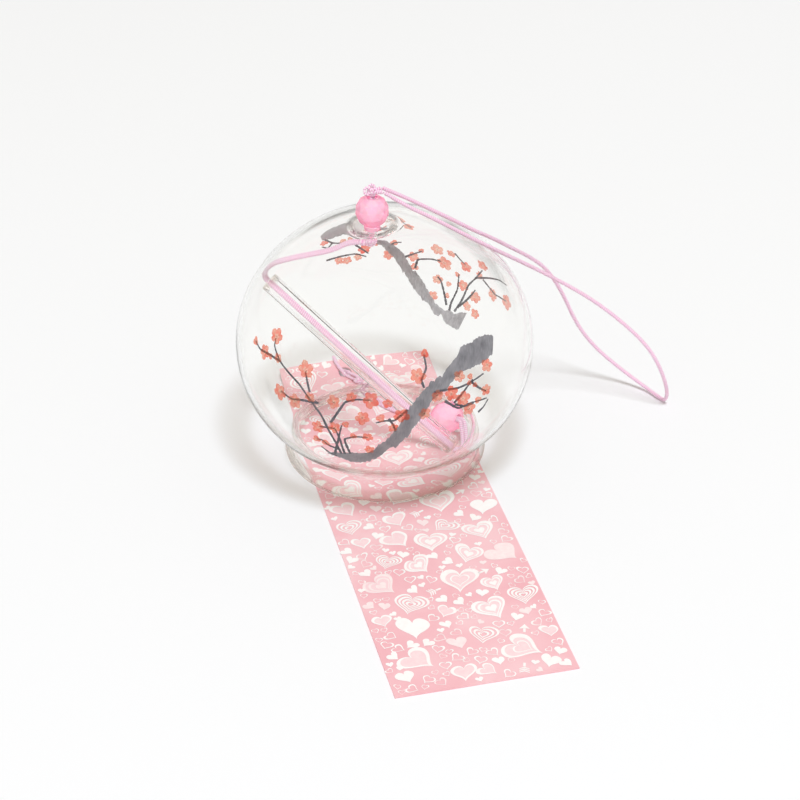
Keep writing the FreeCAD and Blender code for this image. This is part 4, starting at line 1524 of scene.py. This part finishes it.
@dataclass
class Strip:
    """The printed card with its curled end, its hole and its hearts."""

    card: bpy.types.Material
    ink: bpy.types.Material
    width: float = 46.0
    thickness: float = 0.4
    flat_length: float = 132.5
    curl_radius: float = 45.0
    curl_length: float = 15.0
    turn: float = 13.86
    origin: tuple[float, float] = (-6.5, 27.8)
    hole_radius: float = 2.0
    hole_across: float = -3.4
    hole_back: float = 9.6
    spacing: float = 2.0
    hole_steps: int = 40
    hole_room: float = 0.4
    ink_lift: float = 0.05
    wash_lift: float = 0.015
    level_step: float = 0.004
    levels: int = 16
    heart_gap: float = 0.15
    heart_room: float = 0.47
    level_room: float = 0.65
    outline_steps: int = 64
    pen: float = 0.19
    pen_change: float = 0.06
    nested_pen: float = 0.14
    spiral_pen: float = 0.13
    lean: float = 0.2
    right_half: tuple[float, float] = (0.85, 1.1)
    shakes: tuple[float, float] = (0.035, 0.025)
    arrow_slant: float = 0.45
    arrow_size: float = 10.5
    arrow_apart: float = 30.0
    middle_size: float = 3.3
    least_size: float = 2.0
    simple_under: float = 5.4
    washed_over: float = 4.0
    wash_size: float = 0.9
    edge_room: float = 0.52
    arrow_room: float = 0.98
    tilt: float = 0.9
    worn_chance: float = 0.22
    worn_tone: float = 0.45
    fading: float = 0.12
    wash_tone: float = 0.68
    wash_fading: float = 0.3
    seed: int = 5

    # How many tries are over when each kind is done: arrow hearts, large ones, middling ones and least ones
    ARROWS_TILL, LARGE_TILL, MIDDLE_TILL, LEAST_TILL = 400, 9000, 15000, 26000
    LARGE_SIZES = [9.0, 7.4, 8.4, 5.2, 9.6, 6.6, 8.0, 5.0]
    LARGE_KINDS = [HeartKind.OUTLINE, HeartKind.DOUBLE, HeartKind.NESTED, HeartKind.SOLID, HeartKind.SPIRAL,
                   HeartKind.OUTLINE, HeartKind.DOUBLE, HeartKind.DOUBLE, HeartKind.NESTED]
    SMALL_KINDS = [HeartKind.SOLID, HeartKind.OUTLINE, HeartKind.OUTLINE]
    WASHED_KINDS = (HeartKind.OUTLINE, HeartKind.ARROW, HeartKind.DOUBLE)
    # The sizes of the hearts inside each other, as shares of the outer one
    NESTED_SHARES = (1.0, 0.76, 0.53, 0.3)
    # How far along the arrow each end's room has its middle, and the room's width, both in heart widths
    ARROW_ENDS = ((0.72, 0.42), (-0.8, 0.42))

    def place(self, across: float, back: float, height: float) -> Grid:
        """Return the place of a point given in the strip's frame."""
        start = np.array((self.origin[0], self.origin[1], height))
        return start + polar(across, self.turn) + polar(back, self.turn + 90)

    def on_card(self, across: Grid, along: Grid, height: float | Grid) -> Grid:
        """Return places above the card's underside.

        The sheet is flat up to where its curl starts, and from there goes round the curl's radius.

        Args:
            across: millimetres to the right of its middle line.
            along: millimetres back along the sheet from where its curl starts.
            height: millimetres above the underside, square to the sheet.

        Returns:
            One row for each place.
        """
        curl = np.clip(along, 0, None) / self.curl_radius
        reach = self.curl_radius - height
        back = np.where(along > 0, reach * np.sin(curl), along)
        up = np.where(along > 0, self.curl_radius - reach * np.cos(curl), height)
        ahead, side = polar(1, self.turn + 90), polar(1, self.turn)
        rows = np.outer(across, side) + np.outer(back, ahead)
        rows[:, :2] += self.origin
        rows[:, 2] = up
        return rows

    def make_card(self) -> bpy.types.Object:
        """Make the sheet with its punched hole.

        Triangles join a grid of places to the ring of the hole. They are laid once on the upper face and once
        on the lower one, and quads close the rims between.

        Returns:
            The piece.
        """
        half = self.width / 2
        centre = np.array((self.hole_across, self.curl_radius * math.asin(self.hole_back / self.curl_radius)))
        turns = np.linspace(0, 2 * math.pi, self.hole_steps, endpoint=False)
        hole = centre + self.hole_radius * np.stack([np.cos(turns), np.sin(turns)], 1)
        columns = np.linspace(-half, half, int(self.width / self.spacing) + 1)
        rows = np.linspace(-self.flat_length, self.curl_length,
                           int((self.flat_length + self.curl_length) / self.spacing) + 1)
        grid = np.stack(np.meshgrid(columns, rows, indexing="ij"), -1).reshape(-1, 2)
        grid = grid[np.linalg.norm(grid - centre, axis=1) > self.hole_radius + self.hole_room]
        ring = [(number, (number + 1) % len(hole)) for number in range(len(hole))]
        flat, _, faces, *_ = delaunay_2d_cdt(np.concatenate([hole, grid]).tolist(), ring, [], 0, 1e-5)
        spots = np.array([tuple(spot) for spot in flat])
        kept = [tuple(face) for face in faces
                if math.dist(spots[list(face)].mean(axis=0), centre) > self.hole_radius * 0.97]
        sides = {(start, end): None for face in kept for start, end in zip(face, face[1:] + face[:1])}
        rims = [(start, end) for start, end in sides if (end, start) not in sides]
        size = len(spots)
        top = self.on_card(spots[:, 0], spots[:, 1], self.thickness)
        low = self.on_card(spots[:, 0], spots[:, 1], 0.0)
        sheet = kept + [tuple(number + size for number in reversed(face)) for face in kept]
        sheet += [(end, start, start + size, end + size) for start, end in rims]
        piece = make_piece("strip_card", np.concatenate([top, low]), sheet, self.card, Body.STRIP,
                           smooth=False)
        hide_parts("paper_strip")
        return piece

    def heart_line(self, size: float) -> Grid:
        """Return a closed heart outline, point down: the sine cubed across, and a sum of four cosines up.

        Args:
            size: the heart's width.

        Returns:
            One row of flat places for each step round it.
        """
        turn = np.linspace(0, 2 * math.pi, self.outline_steps, endpoint=False)
        x = 16 * np.sin(turn) ** 3
        y = 13 * np.cos(turn) - 5 * np.cos(2 * turn) - 2 * np.cos(3 * turn) - np.cos(4 * turn)
        return np.stack([x, y + 2.5], 1) * size / 32

    def band(self, line: Grid, outer: Grid | float, inner: Grid | float, closed: bool = True) -> Shape:
        """Return the band between two scalings of a line.

        Args:
            line: flat places about the origin.
            outer: the outer rim's scale, one number or one for each place.
            inner: the inner rim's.
            closed: whether the line's end joins its start.

        Returns:
            Flat places and faces.
        """
        rims = [line * np.broadcast_to(share, len(line))[:, None] for share in (outer, inner)]
        return np.concatenate(rims), sheet_faces(2, len(line), next_column=int(closed))

    def fill(self, line: Grid) -> Shape:
        """Return a filled outline as flat places and faces."""
        places, faces = self.band(line, 1.0, 0.3)
        return places, faces + [tuple(range(len(line), 2 * len(line)))]

    def draw_heart(self, kind: HeartKind, size: float, rng: np.random.Generator) -> list[Shape]:
        """Return the strokes of one heart about its own middle, none crossing another.

        The outline leans, one half is wider than the other, and waves of three and five to a turn shake it.

        Args:
            kind: how it is drawn.
            size: its width.
            rng: where its unevenness comes from.

        Returns:
            Flat places and faces of each stroke.
        """
        rim = self.heart_line(size)
        rim[:, 0] += rng.uniform(-self.lean, self.lean) * rim[:, 1]
        rim[:, 0] *= np.where(rim[:, 0] > 0, rng.uniform(*self.right_half), 1.0)
        turns = np.linspace(0, 2 * math.pi, len(rim), endpoint=False)
        shake = 1 + self.shakes[0] * np.cos(3 * turns + rng.uniform(0, 6))
        shake = shake + self.shakes[1] * np.cos(5 * turns + rng.uniform(0, 6))
        rim *= shake[:, None]
        pen = self.pen + self.pen_change * np.cos(turns + rng.uniform(0, 6))
        if kind is HeartKind.SOLID:
            return [self.fill(rim)]
        if kind is HeartKind.NESTED:
            return [self.band(rim, share, share - self.nested_pen) for share in self.NESTED_SHARES]
        if kind is HeartKind.DOUBLE:
            return [self.band(rim, 1.0, 1 - pen), self.band(rim, 0.7, 0.58), self.fill(rim * 0.34)]
        if kind is HeartKind.SPIRAL:
            line = np.concatenate([rim, rim, rim])
            shares = np.linspace(1, 0.2, len(line))
            return [self.band(line, shares, shares - self.spiral_pen, closed=False)]
        strokes = [self.band(rim, 1.0, 1 - pen * 1.25)]
        if kind is HeartKind.ARROW:
            strokes.append(self.band(rim, 0.5, 0.42))
            strokes += self.draw_arrow(size)
        return strokes

    def draw_arrow(self, size: float) -> list[Shape]:
        """Return the ends of the arrow through a heart: bits of its shaft, its tip and three pairs of vanes.

        Args:
            size: the heart's width.

        Returns:
            Flat places and faces of each stroke.
        """
        ahead = np.array((math.cos(self.arrow_slant), math.sin(self.arrow_slant)))
        side = np.array((-ahead[1], ahead[0]))

        def outline(spots: Sequence[tuple[float, float]]) -> Grid:
            """Return places along and across the arrow, given in heart widths."""
            return np.array([ahead * (size * reach) + side * (size * edge) for reach, edge in spots])

        shafts = [outline([(0.56 * hand, -0.03), (0.7 * hand, -0.03), (0.7 * hand, 0.03),
                           (0.56 * hand, 0.03)]) for hand in (-1, 1)]
        tip = outline([(0.71, 0.0), (0.68, 0.13), (0.86, 0.0), (0.68, -0.13)])
        vanes = [outline([(-start, 0.0), (-start - 0.06, 0.12), (-start - 0.09, 0.12), (-start - 0.045, 0.0),
                          (-start - 0.09, -0.12), (-start - 0.06, -0.12)]) for start in (0.71, 0.77, 0.83)]
        return ([(shaft, [(0, 1, 2, 3)]) for shaft in shafts] + [(tip, [(0, 3, 2, 1)])]
                + [(vane, [(0, 1, 2, 3), (0, 3, 4, 5)]) for vane in vanes])

    def footprint(self, kind: HeartKind, size: float, x: float, y: float,
                  tilt: float) -> list[tuple[float, float, float]]:
        """Return the round rooms that a heart takes up: its own, and those of its arrow's ends.

        Args:
            kind: how it is drawn.
            size: its width.
            x: where its middle is across the card.
            y: where its middle is along the card.
            tilt: how far it is turned.

        Returns:
            Each room's middle and width.
        """
        rooms = [(x, y, size)]
        if kind is HeartKind.ARROW:
            for reach, room in self.ARROW_ENDS:
                rooms.append((x + size * reach * math.cos(self.arrow_slant + tilt),
                              y + size * reach * math.sin(self.arrow_slant + tilt), size * room))
        return rooms

    def print_hearts(self) -> bpy.types.Object:
        """Print hearts in a loose scatter over the card's upper face.

        Each try draws a place, and a heart goes there if no other heart has its room. Neighbours lie on
        different levels, so that no two strokes share a plane.

        Returns:
            The printed piece.
        """
        rng = np.random.default_rng(self.seed)
        set_down: list[tuple[float, float, float, int]] = []
        places, faces, tones, count = [], [], [], 0
        half = self.width / 2
        for attempt in range(self.LEAST_TILL):
            small = self.SMALL_KINDS[attempt % 3]
            if attempt < self.ARROWS_TILL:
                size, kind = self.arrow_size, HeartKind.ARROW
            elif attempt < self.LARGE_TILL:
                size = self.LARGE_SIZES[len(set_down) % len(self.LARGE_SIZES)]
                kind = small
                if size > self.simple_under:
                    kind = self.LARGE_KINDS[int(rng.integers(len(self.LARGE_KINDS)))]
            else:
                size = self.middle_size if attempt < self.MIDDLE_TILL else self.least_size
                kind = small
            edge = size * (self.arrow_room if kind is HeartKind.ARROW else self.edge_room)
            x = rng.uniform(-half + edge, half - edge)
            y = rng.uniform(-self.flat_length + edge, self.curl_length - edge)
            tilt = rng.uniform(-self.tilt, self.tilt)
            rooms = self.footprint(kind, size, x, y, tilt)
            clear_hole = math.hypot(x - self.hole_across, y - self.hole_back) > self.hole_radius + size
            apart = all(math.hypot(p - a, q - b) > (room + c) * self.heart_room + self.heart_gap
                        for p, q, room in rooms for a, b, c, _ in set_down)
            alone = kind is not HeartKind.ARROW or all(
                math.hypot(x - a, y - b) > self.arrow_apart for a, b, *_ in set_down)
            if not (clear_hole and apart and alone):
                continue
            taken = {level for p, q, room in rooms for a, b, c, level in set_down
                     if math.hypot(p - a, q - b) < (room + c) * self.level_room + 0.5}
            level = min(set(range(self.levels)) - taken)
            set_down += [(*room, level) for room in rooms]
            spin = np.array(((math.cos(tilt), math.sin(tilt)), (-math.sin(tilt), math.cos(tilt))))
            worn = rng.uniform() < self.worn_chance and kind is not HeartKind.ARROW
            faded = self.worn_tone if worn else rng.uniform(0, self.fading)
            layers = [(shape, self.ink_lift, faded) for shape in self.draw_heart(kind, size, rng)]
            if size > self.washed_over and kind in self.WASHED_KINDS:
                rim = layers[0][0][0][:self.outline_steps]
                tone = self.wash_tone + faded * self.wash_fading
                layers.append((self.fill(rim * self.wash_size), self.wash_lift, tone))
            for (flat, quads), lift, tone in layers:
                spots = flat @ spin + (x, y)
                height = self.thickness + lift + level * self.level_step
                places.append(self.on_card(spots[:, 0], spots[:, 1], height))
                tones.append(np.full(len(spots), tone))
                faces += [tuple(number + count for number in face) for face in quads]
                count += len(spots)
        LOG.info("hearts and arrow ends: %d", len(set_down))
        return make_piece("strip_hearts", np.concatenate(places), faces, self.ink, Body.STRIP,
                          smooth=False, tones={"tone": np.concatenate(tones)})


# Light and camera


@dataclass(frozen=True)
class Studio:
    """The pale floor, the soft light, the world and the camera.

    The floor is painted board, so even that it has only a faint mottle two thirds of a metre wide.
    """

    floor_size: float = 8.0
    floor_tone: str = "F9FBFF"
    floor_mottle: str = "F8FAFD"
    camera_place: tuple[float, float, float] = (0.00413, -0.50694, 0.34365)
    camera_turn: float = 57.11
    lens: float = 99.0
    key_from: tuple[float, float, float] = (0.11, -0.4, 1.0)
    key_distance: float = 3.5
    key_size: float = 0.97
    key_power: float = 80.0
    key_colour: tuple[float, float, float] = (0.93, 0.965, 1.0)
    world_level: float = 0.48
    world_tone: str = "FFF6E8"
    glass_tone: str = "FFFFFD"
    backdrop_tone: str = "F8F7F4"
    mottle_size: float = 666.67
    patch_fade: float = 0.022
    sensor: float = 36.0
    floor_roughness: float = 0.8

    # Where the glass mirrors something dark: a direction, and the cosine of how far the dark reaches round it
    DARK_PATCHES = [((-0.2, 0.98, -0.05), 0.993), ((0.52, 0.85, 0.0), 0.96)]

    def lay_floor(self) -> None:
        """Make the floor, faintly mottled."""
        material, tree = blank("studio_floor")
        where = put(tree, "TexCoord").outputs["Object"]
        cloud = put(tree, "TexNoise", {"Vector": where, "Scale": per_metre(self.mottle_size), "Detail": 1.0})
        tone = put(tree, "ValToRGB", {0: cloud.outputs[0]}, stops=[
            (0.3, self.floor_mottle), (0.7, self.floor_tone)])
        paint = put(tree, "BsdfPrincipled", {
            "Base Color": tone.outputs[0], "Roughness": self.floor_roughness})
        put(tree, "OutputMaterial", {"Surface": paint.outputs[0]})
        half = self.floor_size / 2
        mesh = bpy.data.meshes.new("studio_floor")
        corners = [(-half, -half, 0), (half, -half, 0), (half, half, 0), (-half, half, 0)]
        mesh.from_pydata(corners, [], [(0, 1, 2, 3)])
        mesh.materials.append(material)
        floor = bpy.data.objects.new("studio_floor", mesh)
        bpy.context.scene.collection.objects.link(floor)

    def hang_light(self) -> None:
        """Hang the soft key light over the bell, a little towards the viewer."""
        lamp = bpy.data.lights.new("key_light", "AREA")
        lamp.shape = "DISK"
        lamp.size = self.key_size
        lamp.energy = self.key_power
        lamp.color = self.key_colour
        key = bpy.data.objects.new("key_light", lamp)
        key.visible_glossy = False
        key.visible_transmission = False
        away = unit(self.key_from) * self.key_distance
        key.location = away
        key.rotation_euler = (math.atan2(math.hypot(away[0], away[1]), away[2]), 0,
                              math.atan2(away[1], away[0]) + math.pi / 2)
        bpy.context.scene.collection.objects.link(key)

    def light_world(self) -> None:
        """Make the world: an even light, a plain backdrop, and dark places that only the glass shows."""
        world = bpy.data.worlds.new("studio_world")
        world.use_nodes = True
        tree = world.node_tree
        tree.nodes.clear()
        way = put(tree, "TexCoord").outputs["Generated"]
        total = None
        for direction, reach in self.DARK_PATCHES:
            near = put(tree, "VectorMath", {0: way, 1: tuple(unit(direction))}, operation="DOT_PRODUCT")
            patch = put(tree, "MapRange", {0: near.outputs["Value"], 1: reach - self.patch_fade, 2: reach,
                                           3: 0.0, 4: 1.0}, interpolation_type="SMOOTHSTEP")
            total = patch.outputs[0] if total is None else put(
                tree, "Math", {0: total, 1: patch.outputs[0]}, operation="MAXIMUM").outputs[0]
        rest = put(tree, "Math", {0: 1.0, 1: total}, operation="SUBTRACT", use_clamp=True)
        rays = put(tree, "LightPath")
        glass = put(tree, "Math", {0: rays.outputs["Is Glossy Ray"], 1: rays.outputs["Is Transmission Ray"]},
                    operation="MAXIMUM")
        light = put(tree, "Background", {"Color": linear(self.world_tone), "Strength": self.world_level})
        shown = put(tree, "Background", {"Color": linear(self.glass_tone), "Strength": rest.outputs[0]})
        backdrop = put(tree, "Background", {"Color": linear(self.backdrop_tone)})
        both = put(tree, "MixShader", {0: glass.outputs[0], 1: light.outputs[0], 2: shown.outputs[0]})
        whole = put(tree, "MixShader", {0: rays.outputs["Is Camera Ray"], 1: both.outputs[0],
                                        2: backdrop.outputs[0]})
        put(tree, "OutputWorld", {"Surface": whole.outputs[0]})
        bpy.context.scene.world = world

    def place_camera(self) -> None:
        """Place the camera at the photograph's angle."""
        data = bpy.data.cameras.new("camera")
        data.lens = self.lens
        data.sensor_width = self.sensor
        camera = bpy.data.objects.new("camera", data)
        camera.location = self.camera_place
        camera.rotation_euler = (math.radians(self.camera_turn), 0, 0)
        bpy.context.scene.collection.objects.link(camera)
        bpy.context.scene.camera = camera

    def set_up(self) -> None:
        """Set up everything round the object."""
        self.place_camera()
        self.lay_floor()
        self.hang_light()
        self.light_world()
        bpy.context.scene.view_settings.view_transform = "Standard"


def dress_nodes(names: Sequence[str], material: bpy.types.Material) -> None:
    """Give kept nodes a finish.

    Args:
        names: the nodes' names.
        material: the finish.
    """
    for name in names:
        node = bpy.data.objects[name]
        node.data.materials.clear()
        node.data.materials.append(material)


def main() -> None:
    """Build and dress the wind bell."""
    logging.basicConfig(level=logging.INFO)
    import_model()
    studio = Studio()
    studio.set_up()
    bell_glass = GlassFinish("blown_glass", "FFFFFE", "A7987F", "4C4130", ior=1.33).make()
    tube_glass = GlassFinish("tube_glass", "FFFFFF", "E4DDD4", "C4BCB2", ripple_size=11.111).make()
    trunk = PaintFinish("branch_paint", "4C4B54", "C5C5CA", cover=0.98, glow=0.12).make()
    petals = PaintFinish("blossom_paint", "FF6E5C", "FFD8C4", cover=0.54, glow=0.6, streak_size=1.4286,
                         grain=0.45).make()
    cord = CordMaker(CordFinish().make())
    bell = Bell(bell_glass, trunk, petals)
    rigging = Rigging(bell, cord, tube_glass)
    rigging.hang_loop()
    rigging.tie_top_knot()
    rigging.thread_bell()
    rigging.thread_tube()
    rigging.thread_foot()
    bell.make_globe()
    Painting(bell).paint()
    dress_nodes(("top_bead", "clapper_bead", "seat_ring"), BeadFinish().make())
    strip = Strip(PaperFinish().make(), InkFinish().make())
    strip.make_card()
    strip.print_hearts()
    rigging.tie_strip(strip)


if __name__ == "__main__":
    main()
